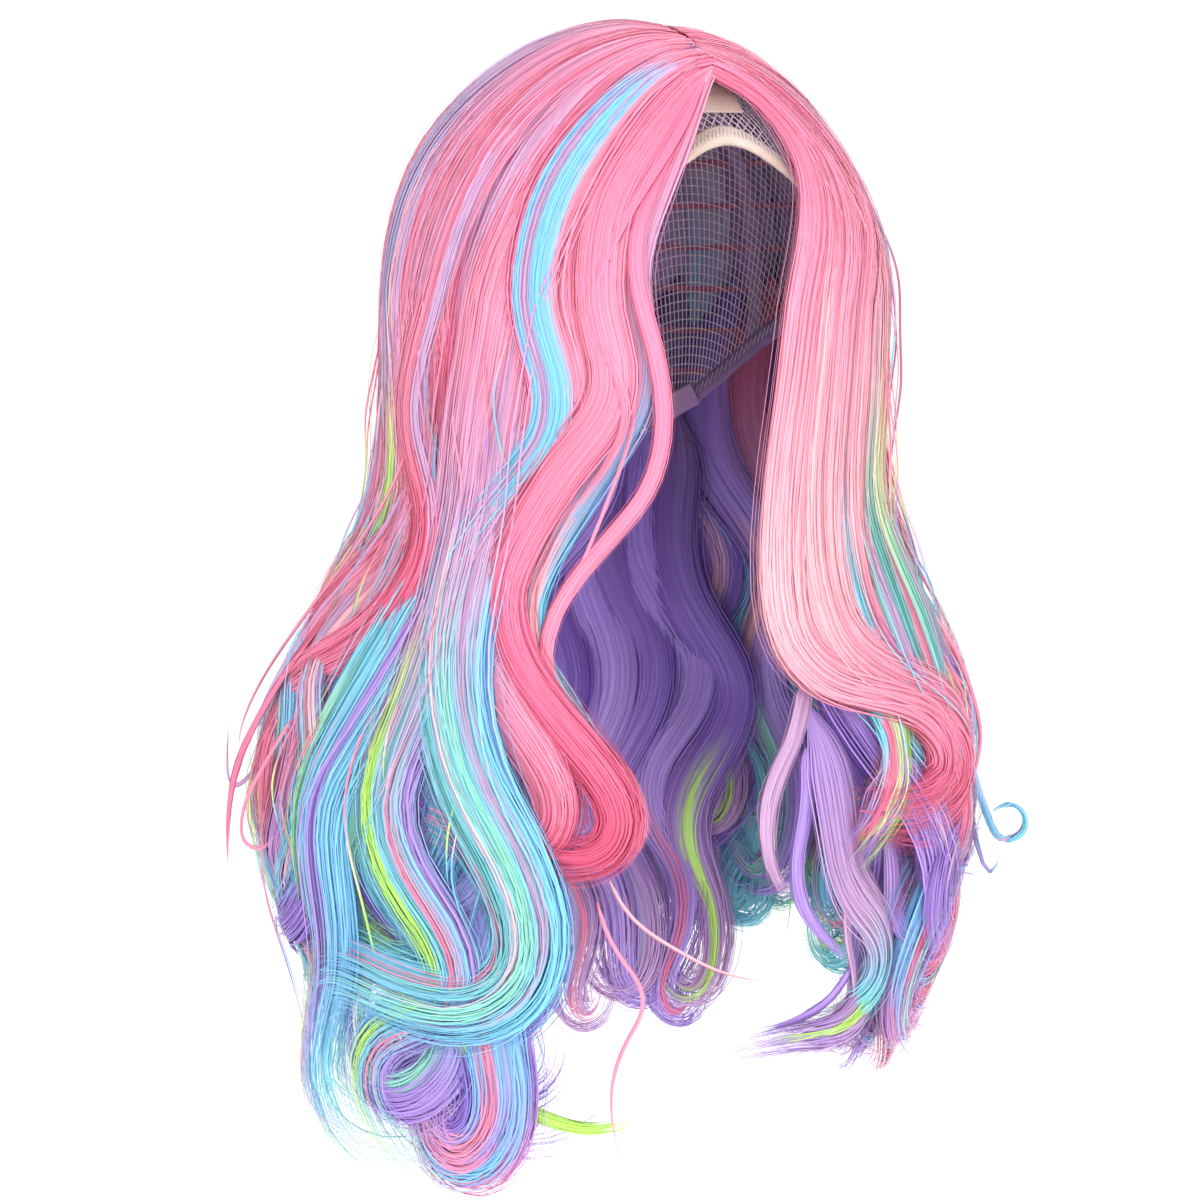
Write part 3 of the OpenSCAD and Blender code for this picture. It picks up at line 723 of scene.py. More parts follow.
FRONT_LOCKS = {
    # The smooth curtain on the wearer's left, which sweeps out at the chin and hooks back. The
    # blush near the middle of its locks' length is a painted highlight
    "curtain_left": [
        dict(solid_to=0.84, taper=0.2, root=-64, azimuth=14, inset=((0, 3), (200, 2), (372, 0)),
             width=28, length=362, strands=190, flatness=0.24, via=((24, -20), (30, -38),
             (24, -66)), depth_sway=1,
             heading=[(0, -4), (112, -9), (140, 6), (162, 48), (186, 74), (222, 74),
                 (248, 48), (272, 0), (298, -66), (324, -94), (362, -108)],
             dyes=CURTAIN_PINK_WITH_PAINTED_LIGHT),
        dict(solid_to=0.74, taper=0.35, root=-60, azimuth=22, inset=((0, 2), (200, 1), (390, -1)),
             width=30, length=376, strands=190, flatness=0.24, via=((29, -18), (36, -40),
             (31, -68)), depth_sway=1,
             heading=[(0, -2), (108, -8), (138, 8), (160, 50), (184, 68), (218, 68),
                 (244, 44), (272, 0), (304, -66), (334, -96), (376, -112)],
             dyes=CURTAIN_PINK_WITH_PAINTED_LIGHT,
             streaks=((0.5, 1.1, "blush", 0.25, 0.6),)),
        dict(taper=0.3, root=-52, azimuth=29, inset=((0, 2), (220, 3), (380, 1)), width=32,
             length=384, strands=180, flatness=0.24, via=((38, -16), (45, -42), (40, -72)),
             depth_sway=1,
             heading=[(0, 0), (100, -8), (135, 0), (165, 45), (190, 60), (216, 56), (246, 30),
                 (280, -20), (315, -46), (345, -20), (384, 40)],
             dyes=((0, "hot"), (0.3, "pink"), (0.5, "blush"), (0.62, "hot"),
                 (0.72, "lavender"), (0.9, "pink"), (1, "aqua")),
             streaks=((0.2, 0.9, "lilac", 0.3, 0.5), (0.0, 0.4, "aqua", 0.5, 0.75))),
        dict(root=-42, azimuth=38, inset=((0, 4), (370, 3)), width=34, length=370, strands=140,
             flatness=0.24,
             heading=[(0, 2), (90, -8), (130, -8), (165, 25), (195, 46), (235, 40), (275, 0),
                 (310, -50), (370, -110)],
             dyes=((0, "pink"), (0.35, "blush"), (0.46, "mint"), (0.62, "aqua"), (0.8, "sky"),
                 (1, "hot")),
             streaks=((-0.3, 0.0, "teal", 0.45, 0.7), (0.2, 0.5, "lilac", 0.45, 0.8),
                 (0.75, 1.1, "hot", 0.4, 1.0))),
        dict(root=-30, azimuth=50, inset=((0, 3), (370, 0)), width=32, length=380, strands=130,
             flatness=0.26,
             heading=[(0, 0), (70, -8), (120, -10), (165, 15), (205, 20), (245, 0),
                 (285, -40), (320, -30), (380, 30)],
             dyes=((0, "hot"), (0.35, "blush"), (0.48, "butter"), (0.56, "mint"),
                 (0.7, "aqua"), (0.85, "pink"), (1, "sky")),
             streaks=((-0.2, 0.1, "lilac", 0.5, 0.8), (0.7, 1.1, "hot", 0.4, 1.0))),
    ],
    "curtain_under_left": [
        dict(azimuth=29, start_z=-276, inset=((0, 12), (30, 6), (100, 5)), width=30, length=108,
             strands=150, taper=0.4, opens_by=0.08, depth_sway=0,
             heading=[(0, 26), (30, 0), (60, -34), (108, -60)],
             dyes=((0, "teal"), (0.3, "aqua"), (0.7, "lilac"), (1, "lavender")),
             streaks=((-0.7, -0.1, "lime", 0.2, 1.1), (0.2, 0.5, "butter", 0.1, 0.9),
                 (0.6, 0.9, "hot", 0.2, 1.0))),
        dict(root=-48, azimuth=28, inset=((0, 12), (200, 9), (400, 6)), width=28, length=384,
             strands=110, via=((34, -16), (40, -42), (36, -72)),
             heading=[(0, 0), (110, -5), (150, 25), (185, 60), (225, 58), (255, 10),
                 (285, -60), (315, -105), (384, -140)],
             dyes=((0, "pink"), (0.4, "lavender"), (0.6, "aqua"), (0.75, "sky"), (1, "lime")),
             streaks=((0.3, 0.75, "lime", 0.62, 1.0), (-0.9, -0.4, "teal", 0.5, 0.8))),
        dict(root=-40, azimuth=38, inset=((0, 13), (240, 9), (410, 7)), width=30, length=400,
             strands=110,
             heading=[(0, 0), (110, 0), (150, 30), (190, 48), (235, 20), (270, -40),
                 (305, -80), (345, -60), (400, 20)],
             dyes=((0, "pink"), (0.35, "lilac"), (0.6, "mint"), (0.75, "aqua"),
                 (1, "lavender")),
             streaks=((-0.3, 0.15, "hot", 0.55, 1.0), (0.5, 0.8, "lime", 0.5, 0.8))),
    ],
    "purple_fall_left": [
        dict(azimuth=18, inset=20, width=26, length=420, strands=80,
             heading=[(0, 5), (120, 0), (170, 20), (215, 35), (260, 10), (300, 25), (340, 10),
                 (370, -40), (420, -160)],
             dyes=((0, "plum"), (0.5, "violet"), (0.7, "lavender"), (1, "lavender"))),
        dict(azimuth=27, inset=20, width=30, length=440, strands=90,
             heading=[(0, 0), (120, 0), (170, 15), (215, 30), (260, 20), (300, 35), (335, 15),
                 (365, -40), (400, -120), (440, -220)],
             dyes=((0, "plum"), (0.5, "violet"), (0.72, "lavender"), (1, "lilac")),
             streaks=((-0.5, -0.2, "sky", 0.6, 0.9),)),
        dict(azimuth=40, inset=18, width=30, length=430, strands=90,
             heading=[(0, 0), (130, 0), (180, 30), (225, 30), (265, -10), (300, 20),
                 (340, 25), (375, -30), (430, -170)],
             dyes=((0, "plum"), (0.45, "violet"), (0.65, "lavender"), (0.85, "hot"),
                 (1, "lilac")),
             streaks=((0.1, 0.5, "aqua", 0.55, 0.95),)),
    ],
    # The lavender and pink mass under the curtain's hook
    "lavender_ends_left": [
        dict(azimuth=22, start_z=-225, inset=((0, 20), (70, 17), (120, 7), (280, 2)), width=42,
             length=280, strands=190, taper=0.25, opens_by=0.12,
             heading=[(0, 10), (60, 28), (110, 22), (150, 26), (178, 34), (204, 110),
                 (228, 200), (252, 290), (280, 400)],
             dyes=((0, "violet"), (0.3, "lavender"), (0.6, "lavender"), (1, "violet")),
             streaks=((0.2, 0.5, "lilac", 0.3, 0.8), (-1.1, -0.8, "sky", 0.5, 0.9))),
        dict(azimuth=33, start_z=-386, inset=((0, 10), (36, -3), (170, -9)), width=24, length=170,
             strands=190, taper=0.2, opens_by=0.1,
             heading=[(0, 34), (26, 50), (60, 150), (92, 240), (124, 330), (170, 450)],
             dyes=((0, "lavender"), (0.5, "violet"), (1, "lavender")),
             streaks=((0.3, 0.6, "lilac", 0.2, 0.8),)),
        dict(azimuth=34, start_z=-262, inset=((0, 16), (60, 9), (120, 3), (250, 3)), width=32,
             length=250, strands=150, taper=0.3,
             heading=[(0, 10), (40, 40), (76, 30), (104, -10), (136, -40), (166, -10),
                 (192, 20), (216, 80), (250, 150)],
             dyes=((0, "sky"), (0.35, "aqua"), (0.6, "sky"), (1, "lavender")),
             streaks=((-0.5, -0.1, "lime", 0.2, 0.7), (0.3, 0.8, "hot", 0.2, 0.9))),
        dict(azimuth=45, start_z=-268, inset=((0, 14), (60, 6), (250, 2)), width=34, length=250,
             strands=150, taper=0.3,
             heading=[(0, 0), (40, 30), (76, 20), (110, -20), (140, -46), (170, -30),
                 (196, 30), (220, 110), (250, 200)],
             dyes=((0, "pink"), (0.35, "hot"), (0.6, "lavender"), (1, "pink")),
             streaks=((-0.6, -0.1, "sky", 0.2, 0.9), (0.4, 0.7, "mint", 0.4, 0.8))),
        dict(azimuth=58, start_z=-262, inset=((0, 12), (60, 5), (250, 1)), width=32, length=260,
             strands=150, taper=0.3,
             heading=[(0, 0), (50, -24), (90, 5), (126, 26), (160, 0), (186, -60),
                 (212, -130), (260, -250)],
             dyes=((0, "lilac"), (0.4, "pink"), (0.7, "hot"), (1, "violet")),
             streaks=((0.0, 0.4, "aqua", 0.3, 0.8),)),
        dict(azimuth=14, start_z=-286, inset=((0, 18), (60, 10), (200, 6)), width=26, length=205,
             strands=110, taper=0.5,
             heading=[(0, 30), (40, 0), (76, 26), (110, 46), (146, 0), (170, -60),
                 (205, -120)],
             dyes=((0, "lavender"), (0.5, "lilac"), (0.8, "aqua"), (1, "mint"))),
        dict(azimuth=30, start_z=-340, inset=((0, 14), (150, 2)), width=22, length=200,
             strands=100, taper=0.5,
             heading=[(0, 30), (50, 10), (90, -30), (120, -80), (150, -96), (200, -70)],
             dyes=((0, "lavender"), (0.6, "lilac"), (1, "lavender")),
             streaks=((0.0, 0.5, "lime", 0.5, 0.9),)),
    ],
    # The long S on the wearer's right, from the parting over the cheek to a wide hook
    "face_wave_right": [
        dict(solid_to=0.84, taper=0.1, root=-64, azimuth=-36, inset=0, width=20, length=345,
             strands=140, via=((-12, -16), (-22, -33), (-35, -66)), sink=0, flatness=0.26,
             depth_sway=1,
             heading=[(0, 10), (20, 24), (38, -4), (62, -44), (106, -20), (130, 2), (144, 27),
                 (185, 46), (228, 48), (256, 32), (274, -20), (292, -84), (316, -108),
                 (345, -116)],
             dyes=((0, "hot"), (0.35, "pink"), (0.6, "hot"), (0.85, "pink_shade"),
                 (1, "pink_shade"))),
        dict(solid_to=0.84, taper=0.1, root=-60, azimuth=-41, inset=3, width=24, length=340,
             strands=140, via=((-18, -16), (-29, -38), (-40, -68)), sink=1, flatness=0.26,
             depth_sway=1,
             heading=[(0, 4), (24, 26), (46, -4), (72, -44), (112, -22), (138, 2), (154, 27),
                 (190, 46), (228, 46), (252, 20), (268, -40), (284, -90), (340, -120)],
             dyes=((0, "hot"), (0.3, "pink"), (0.5, "lilac"), (0.7, "pink"), (0.9, "pink_shade"),
                 (1, "hot")),
             streaks=((-0.9, -0.4, "lilac", 0.3, 0.55),)),
        dict(root=-60, azimuth=-27, inset=2, width=7, length=320, strands=40, via=((-10, -24),
             (-19, -44), (-29, -76)), sink=0, depth_sway=1,
             heading=[(0, 22), (40, 12), (70, -12), (100, -40), (130, -30), (160, 8),
                 (190, 50), (230, 50), (262, 10), (290, -80), (320, -110)],
             dyes=((0, "hot"), (1, "pink"))),
        dict(root=-62, azimuth=-38, inset=-2, width=5, length=120, strands=26, via=((-8, -20),
             (-16, -38), (-30, -70)), sink=0, depth_sway=1,
             heading=[(0, 20), (40, 30), (60, -20), (120, -50)],
             dyes=((0, "hot"), (1, "pink"))),
    ],
    "sky_streak_right": [
        dict(root=-54, azimuth=-50, inset=((0, -1.5), (70, 2), (340, 4)), width=23, length=340,
             strands=160, root_inset=0, via=((-24, -10), (-38, -34), (-48, -66)), flatness=0.26,
             depth_sway=1,
             heading=[(0, 10), (26, 26), (50, -4), (76, -44), (116, -22), (142, 2), (158, 27),
                 (194, 44), (240, 40), (275, -20), (340, -110)],
             dyes=SKY_ROPE,
             streaks=((0.1, 0.4, "lilac", 0.1, 0.5), (-1.1, -0.75, "pink", 0.0, 0.6),
                 (-0.3, -0.1, "aqua", 0.1, 0.4), (0.75, 1.1, "hot", 0.1, 0.5))),
        dict(root=-62, azimuth=-30, inset=8, width=20, length=330, strands=110, via=((-14, -30),
             (-24, -56), (-31, -84)), sink=2,
             heading=[(0, 12), (30, 6), (60, -38), (100, -28), (130, 0), (150, 25), (190, 45),
                 (236, 45), (260, 0), (290, -80), (330, -120)],
             dyes=((0, "pink"), (0.34, "lilac"), (0.46, "sky"), (0.7, "aqua"),
                 (0.85, "lilac"), (1, "pink_shade")),
             streaks=((-0.8, -0.3, "blush", 0.5, 0.8),)),
    ],
    "middle_wave_right": [
        dict(root=-46, azimuth=-58, inset=((0, 2), (250, 1), (480, 0)), width=44, length=480,
             strands=230, sink=0, flatness=0.2, taper=0.3, depth_sway=2,
             heading=[(0, -4), (60, -8), (110, 12), (160, 24), (205, 32), (245, 38),
                 (282, 10), (312, -24), (338, -64), (364, -98), (404, -106), (440, -70),
                 (480, 10)],
             dyes=((0, "hot"), (0.3, "pink"), (0.46, "lilac"), (0.56, "aqua"), (0.8, "aqua"),
                 (1, "sky")),
             streaks=((-1.1, -0.85, "sky", 0.4, 1.1), (-0.6, -0.4, "lilac", 0.3, 0.8),
                 (-0.25, 0.0, "mint", 0.5, 0.9), (0.1, 0.25, "blush", 0.45, 0.85),
                 (0.35, 0.5, "teal", 0.55, 0.9), (0.6, 0.72, "hot", 0.6, 1.0))),
        dict(root=-38, azimuth=-66, inset=((0, 3), (260, 4), (470, 2)), width=36, length=470,
             strands=190, flatness=0.2, taper=0.3,
             heading=[(0, -4), (60, 0), (110, 20), (150, 10), (195, -15), (235, 24),
                 (275, 36), (302, 0), (330, -55), (356, -72), (386, -20), (412, 30), (440, 70),
                 (470, 120)],
             dyes=((0, "hot"), (0.35, "hot"), (0.5, "lilac"), (0.62, "aqua"), (0.85, "sky"),
                 (1, "mint")),
             streaks=((0.1, 0.5, "lime", 0.52, 1.0), (-0.6, -0.35, "hot", 0.6, 0.95),
                 (-1.0, -0.75, "lavender", 0.5, 1.0))),
        dict(root=-40, azimuth=-54, inset=12, width=32, length=470, strands=110,
             heading=[(0, 0), (120, 10), (180, 0), (230, 30), (280, 20), (320, -30),
                 (350, -60), (385, 0), (415, 80), (470, 130)],
             dyes=((0, "plum"), (0.4, "violet"), (0.6, "sky"), (0.8, "lavender"),
                 (1, "lilac")),
             streaks=((-0.2, 0.3, "sky", 0.72, 1.0),)),
        dict(root=-50, azimuth=-52, inset=6, width=22, length=150, strands=120, taper=0.6, sink=6,
             heading=[(0, -6), (60, 14), (150, -10)],
             dyes=((0, "hot"), (0.6, "pink_shade"), (1, "hot"))),
    ],
    # The curls at the foot of the wearer's right front
    "foot_curls_right": [
        dict(azimuth=-36, start_z=-330, inset=((0, 16), (90, 6), (230, 4)), width=36, length=230,
             strands=170, taper=0.3,
             heading=[(0, -20), (50, -30), (90, 0), (130, 20), (160, -40), (185, -110),
                 (230, -220)],
             dyes=((0, "lavender"), (0.4, "sky"), (0.7, "lavender"), (1, "lilac")),
             streaks=((-0.3, 0.1, "pink", 0.3, 0.9), (0.5, 0.8, "violet", 0.3, 1.0))),
        dict(azimuth=-46, start_z=-345, inset=((0, 16), (90, 7), (230, 4)), width=34, length=220,
             strands=160, taper=0.3,
             heading=[(0, -10), (50, 0), (90, 20), (130, 0), (155, -70), (180, -140),
                 (220, -240)],
             dyes=((0, "violet"), (0.4, "lavender"), (0.7, "pink"), (1, "lavender")),
             streaks=((-0.7, -0.3, "sky", 0.2, 0.9),)),
        dict(azimuth=-58, start_z=-345, inset=((0, 14), (90, 7), (230, 5)), width=34, length=210,
             strands=150, taper=0.3,
             heading=[(0, 0), (50, 20), (90, 0), (120, -50), (150, -110), (210, -230)],
             dyes=((0, "aqua"), (0.5, "lavender"), (1, "violet")),
             streaks=((0.2, 0.6, "mint", 0.3, 0.9),)),
        dict(azimuth=-52, start_z=-395, inset=((0, 6), (120, 0)), width=7, length=150, strands=46,
             taper=0.3, flatness=0.6,
             heading=[(0, 0), (24, 4), (50, 24), (74, 60), (110, 78), (135, 100), (150, 130)],
             dyes=((0, "lime"), (1, "lime"))),
        dict(azimuth=-74, start_z=-400, inset=((0, 6), (120, 1)), width=15, length=120,
             strands=80, taper=0.3,
             heading=[(0, 60), (40, 80), (80, 92), (100, 130), (120, 180)],
             dyes=((0, "aqua"), (0.5, "mint"), (1, "lime")),
             streaks=((0.0, 0.8, "lime", 0.3, 1.0),)),
    ],
    "long_sweep_right": [
        dict(root=-26, azimuth=-78, inset=1, width=26, length=330, strands=140, sink=0,
             depth_sway=1,
             heading=[(0, -28), (38, -12), (62, 15), (92, 42), (122, 18), (142, -12),
                 (166, -52), (200, -74), (224, -50), (246, 0), (280, 12), (300, -40), (330, -100)],
             dyes=((0, "hot"), (0.4, "pink"), (0.55, "pink_shade"), (0.7, "hot"), (1, "pink")),
             streaks=((-1.0, -0.5, "lilac", 0.15, 0.5),)),
        dict(root=-30, azimuth=-72, inset=3, width=12, length=400, strands=70,
             heading=[(0, 0), (60, 15), (100, 32), (130, 0), (160, -46), (190, -40), (220, 0),
                 (300, 6), (340, -40), (400, 60)],
             dyes=((0, "pink"), (0.3, "blush"), (0.42, "butter"), (0.55, "lime"),
                 (0.68, "lilac"), (0.8, "sky"), (1, "lime"))),
        dict(root=-34, azimuth=-66, inset=2, width=22, length=260, strands=120, sink=6,
             heading=[(0, -8), (50, 6), (90, 26), (130, 10), (170, -20), (260, 0)],
             dyes=((0, "pink"), (0.25, "lilac"), (0.5, "hot"), (0.8, "lilac"), (1, "aqua"))),
    ],
    "outer_wave_right": [
        dict(root=-32, azimuth=-67, inset=((0, 8), (250, 5), (470, 2)), width=40, length=470,
             strands=180, flatness=0.22, taper=0.3,
             heading=[(0, 0), (140, 0), (170, -20), (200, -25), (226, 0), (250, 16),
                 (276, -10), (300, -46), (330, -46), (356, -20), (380, 5), (402, 55), (430, 84),
                 (470, 110)],
             dyes=((0, "pink"), (0.35, "lilac"), (0.5, "aqua"), (0.75, "sky"), (0.9, "aqua"),
                 (1, "mint")),
             streaks=((0.35, 0.7, "lime", 0.6, 1.0), (-0.5, -0.2, "lavender", 0.4, 1.0),
                 (0.0, 0.2, "hot", 0.7, 1.0))),
        dict(azimuth=-82, start_z=-250, inset=((0, 14), (80, 5), (240, 0)), width=30, length=230,
             strands=150, taper=0.35,
             heading=[(0, 0), (50, 20), (90, 10), (126, -36), (156, -70), (184, -90),
                 (206, -140), (230, -200)],
             dyes=((0, "sky"), (0.3, "lavender"), (0.6, "violet"), (1, "lavender")),
             streaks=((0.3, 0.7, "sky", 0.2, 0.6),)),
    ],
}

# Thin strays that stand off the surface, as (azimuth, height, length, headings, insets, width, dye)
WISPS = {
    "stray_lock_right": (
        (-96, -250, 122, ((0, 0), (60, 8), (122, -8)),
         ((0, 0), (30, -6), (70, -14), (122, -22)), 5.0, "hot"),
        (-88, -300, 90, ((0, 0), (30, -30), (60, 60), (90, 160)),
         ((0, 0), (30, -8), (60, -18), (90, -8)), 2.5, "pink"),
        (-96, -318, 80, ((0, -20), (30, -80), (60, -160), (80, -220)),
         ((0, 0), (40, -14), (80, -20)), 2.0, "lilac"),
    ),
    "loose_strands_right": (
        (-80, -150, 210, ((0, -14), (60, -24), (110, -34), (160, -30), (210, -50)),
         ((0, 1), (60, -6), (130, -9), (210, -16)), 1.8, "pink"),
        (-84, -190, 150, ((0, -10), (60, -30), (110, 10), (150, -20)),
         ((0, 0), (60, -7), (150, -12)), 1.5, "lilac"),
        (-24, -372, 190, ((0, 10), (36, 44), (60, -40), (110, 10), (150, 22), (190, -40)),
         ((0, 6), (60, -4), (190, -8)), 1.6, "pink"),
        (-22, -362, 100, ((0, 20), (30, 56), (60, 60), (100, 90)),
         ((0, 6), (100, -6)), 1.2, "blush"),
        (-30, -130, 170, ((0, 30), (40, -20), (100, -10), (170, 20)),
         ((0, 2), (170, 0)), 1.4, "pink"),
    ),
    "loose_strands_left": (
        (58, -60, 150, ((0, 5), (50, 20), (90, -20), (150, 0)),
         ((0, 0), (40, -6), (90, -9), (150, 0)), 1.6, "pink"),
        (64, -80, 120, ((0, 0), (60, 15), (120, -15)),
         ((0, 0), (50, -7), (120, -2)), 1.2, "hot"),
        (52, -226, 150, ((0, 10), (50, 20), (90, 0), (150, -40)),
         ((0, 2), (50, -7), (100, -8), (150, 4)), 3.5, "pink"),
        (14, -280, 110, ((0, -20), (40, -40), (80, 10), (110, 50)),
         ((0, 14), (110, 6)), 9, "lilac"),
        (13, -310, 120, ((0, 0), (40, -20), (80, 40), (120, 60)),
         ((0, 14), (120, 5)), 7, "lavender"),
        (17, -330, 130, ((0, 30), (50, 0), (90, 30), (130, -40)),
         ((0, 12), (130, 4)), 5, "lilac"),
        (26, -418, 70, ((0, -40), (30, -76), (70, -96)),
         ((0, 8), (70, 2)), 4, "lavender"),
    ),
}


# Strays wider than this are made of more strands and have no solid middle
WIDE_STRAY = 5.5


def wisp(side, azimuth, height, length, headings, insets, width, dye_name):
    """A thin stray as a lock of few strands."""
    wide = width > WIDE_STRAY
    return hair_lock(side=side, azimuth=azimuth, start_z=height, length=length, inset=insets,
                     heading=headings, width=width, flatness=0.5, taper=0.5, depth_sway=0,
                     strands=6 + int(width * (9 if wide else 4)), opens_by=0.05, sink=0,
                     fine=wide, dyes=((0, dye_name), (1, dye_name)))


def tendril():
    """The thin tendril that leaves the wearer's left side and winds up in a hook."""
    a = math.radians(66)
    out, up = np.array([math.sin(a), -math.cos(a), 0]), np.array([0, 0, 1.0])
    top = surface(66, -352, -4)
    f = np.radians(np.linspace(-50, 265, 28))[:, None]
    hook = top + out * (17 + 9 * np.sin(f)) - up * (18 + 9 * np.cos(f))
    lead = np.array([surface(64, -318, 4), surface(65, -336, 0), top + out * 3 - up * 9,
                     top + out * 9 - up * 19])
    line = soften(np.concatenate([lead, hook]), 2)
    second = np.array([surface(62, -345, 3), surface(63, -362, -2), surface(64, -378, -9),
                       surface(65, -392, -16), surface(65, -398, -21), surface(65, -392, -24),
                       surface(65, -382, -23)])
    return [hair_lock(line=line, azimuth=66, width=5.0, flatness=0.7, taper=0.55, strands=26,
                      opens_by=0.02, dyes=((0, "sky"), (0.6, "aqua"), (1, "sky")),
                      streaks=((0.2, 0.8, "pink", 0.3, 0.7),)),
            hair_lock(line=soften(second, 1), azimuth=65, width=3.4, flatness=0.7, taper=0.6,
                      strands=18, opens_by=0.02,
                      dyes=((0, "teal"), (0.7, "lavender"), (1, "aqua")))]


# ---- the rest of the hair, layer by layer ----

# Dyes from root to tip. The locks of a layer take them in turn
OUTER_DYES = [
    ((0, "hot"), (0.35, "pink"), (0.55, "lilac"), (0.7, "aqua"), (0.88, "sky"), (1, "lavender")),
    ((0, "hot"), (0.4, "pink"), (0.6, "pink"), (0.78, "lavender"), (1, "lilac")),
    ((0, "pink"), (0.35, "blush"), (0.5, "sky"), (0.75, "aqua"), (1, "mint")),
    ((0, "hot"), (0.45, "pink"), (0.62, "butter"), (0.75, "lime"), (0.88, "aqua"), (1, "sky")),
]
MIDDLE_DYES = [
    ((0, "lilac"), (0.4, "lavender"), (0.65, "sky"), (1, "aqua")),
    ((0, "pink"), (0.35, "sky"), (0.6, "aqua"), (0.85, "mint"), (1, "lime")),
    ((0, "lilac"), (0.5, "lavender"), (0.8, "violet"), (1, "lavender")),
]
# The darkest roots of these inner layers are painted shade
INNER_DYES = [
    ((0, "violet"), (0.4, "lavender"), (0.75, "lavender"), (1, "violet")),
    ((0, "plum"), (0.35, "violet"), (0.8, "lilac"), (1, "lavender")),
    ((0, "pink_shade"), (0.3, "lilac"), (0.6, "aqua"), (1, "sky")),
]
ENDS_DYES = [
    ((0, "lilac"), (0.3, "sky"), (0.7, "aqua"), (1, "mint")),
    ((0, "lavender"), (0.5, "violet"), (1, "lavender")),
    ((0, "aqua"), (0.4, "mint"), (0.7, "lime"), (1, "aqua")),
    ((0, "pink"), (0.4, "lilac"), (0.8, "lavender"), (1, "sky")),
]
FAR_CROWN_DYES = [
    ((0, "hot"), (0.2, "lilac"), (0.5, "sky"), (1, "aqua")),
    ((0, "hot"), (0.25, "lilac"), (1, "lilac")),
    ((0, "hot"), (0.3, "sky"), (0.7, "mint"), (1, "sky")),
]
CROWN_DYES = [
    ((0, "hot"), (0.4, "pink"), (1, "pink")),
    ((0, "hot"), (0.3, "lilac"), (1, "lilac")),
    ((0, "hot"), (0.5, "hot"), (1, "pink_shade")),
    ((0, "pink"), (0.3, "lilac"), (0.6, "lilac"), (1, "lavender")),
    ((0, "hot"), (0.5, "pink"), (1, "hot")),
]
STREAK_DYES = ["lilac", "sky", "lime", "blush", "hot", "aqua", "lavender", "mint"]

# How far below the ears the filling locks' waves start
WAVE_START = {LEFT: 120, RIGHT: 72}


def part_root(away):
    """Where on the parting the hair that hangs at this angle from the front comes out."""
    return PART_FRONT + (PART_BACK - PART_FRONT) * smooth((away - 8) / 165)


def layer_locks(side, first, last, count, inset, sink, width, palette, rng, short=0,
                **values):
    """A row of side by side locks between two angles from the front."""
    made = []
    for k in range(count):
        away = first + (last - first) * (k + 0.5) / count + rng.normal(0, 1.2)
        low = rng.uniform(-0.9, 0.5)
        streaks = [(low, low + rng.uniform(0.25, 0.5), STREAK_DYES[rng.integers(len(STREAK_DYES))],
                    rng.uniform(0.25, 0.55), rng.uniform(0.7, 1.1)) for _ in range(2)]
        turn = side * rng.choice([-1, 1]) * rng.uniform(170, 280)
        length = rng.uniform(400, 450) - short
        made.append(hair_lock(
            side=side, azimuth=side * away, inset=inset + rng.normal(0, 0.8), sink=sink,
            width=width, length=length, phase=rng.uniform(0, 6.3),
            heading=waves(side * rng.uniform(40, 56), rng.uniform(150, 170),
                          WAVE_START[side] + 0.2 * away + rng.normal(0, 7), turn,
                          length - 110, 100),
            dyes=palette[(k + (side > 0)) % len(palette)], streaks=streaks,
            **{name: value(away) if callable(value) else value
               for name, value in values.items()}))
    return made


def layers(rng):
    """All the filling locks, by the name of their layer."""
    made = {}
    for name, side in SIDES.items():
        start = 52 if side == LEFT else 84
        made[f"outer_{name}"] = layer_locks(
            side, start, 178, 13, 3, 2, 30 if side == LEFT else 26, OUTER_DYES, rng,
            root=part_root, strands=100, root_inset=1.0)
        made[f"middle_{name}"] = layer_locks(
            side, 46 if side == LEFT else 50, 176, 10, 12, 3, 32, MIDDLE_DYES, rng,
            root=part_root, strands=70, root_inset=4.0)
        made[f"inner_{name}"] = layer_locks(
            side, 40, 176, 9, 21, 3, 34, INNER_DYES, rng, strands=75, start_z=-98.0,
            opens_by=0.1)
        made[f"ends_{name}"] = layer_locks(
            side, 46, 176, 12, 12, 2, 34, ENDS_DYES, rng, strands=90, start_z=-215.0,
            short=115)
        cover = crown_cover(side, rng)
        made[f"crown_{name}"] = cover[:10]
        made[f"crown_rear_{name}"] = cover[10:]
        made[f"flyaways_{name}"] = flyaways(side, rng)
        made[f"nape_{name}"] = layer_locks(
            side, 132, 178, 5, 40, 0, 30, INNER_DYES[:2], rng, strands=60, start_z=-168.0,
            opens_by=0.06)
    return made


def crown_cover(side, rng):
    """Short-rooted locks that lie over the crown and end inside the fall."""
    made = []
    first, count = (40 if side == LEFT else 52), 20
    for k in range(count):
        away = first + (176 - first) * (k + 0.5) / count + rng.normal(0, 1.0)
        swing = rng.uniform(14, 30) if side == RIGHT else rng.uniform(6, 14)
        made.append(hair_lock(
            side=side, root=part_root(away), azimuth=side * away,
            inset=rng.uniform(0.5, 4.0), sink=rng.uniform(5, 10), width=rng.uniform(17, 28),
            length=rng.uniform(110, 190), strands=90, taper=0.6, root_inset=0.4,
            depth_sway=2.0, heading=waves(side * swing, rng.uniform(110, 140),
                                          40 + rng.normal(0, 8), 0, 500, 100),
            dyes=FAR_CROWN_DYES[k % 3] if side == RIGHT and 94 < away < 128
            else CROWN_DYES[k % len(CROWN_DYES)],
            streaks=[(low, low + rng.uniform(0.15, 0.5),
                      "sky" if away > 112 or k % 7 == 3 else "lilac",
                      rng.uniform(0.05, 0.3), 1.3) for low in rng.uniform(-0.9, 0.6, 2)]))
    return made


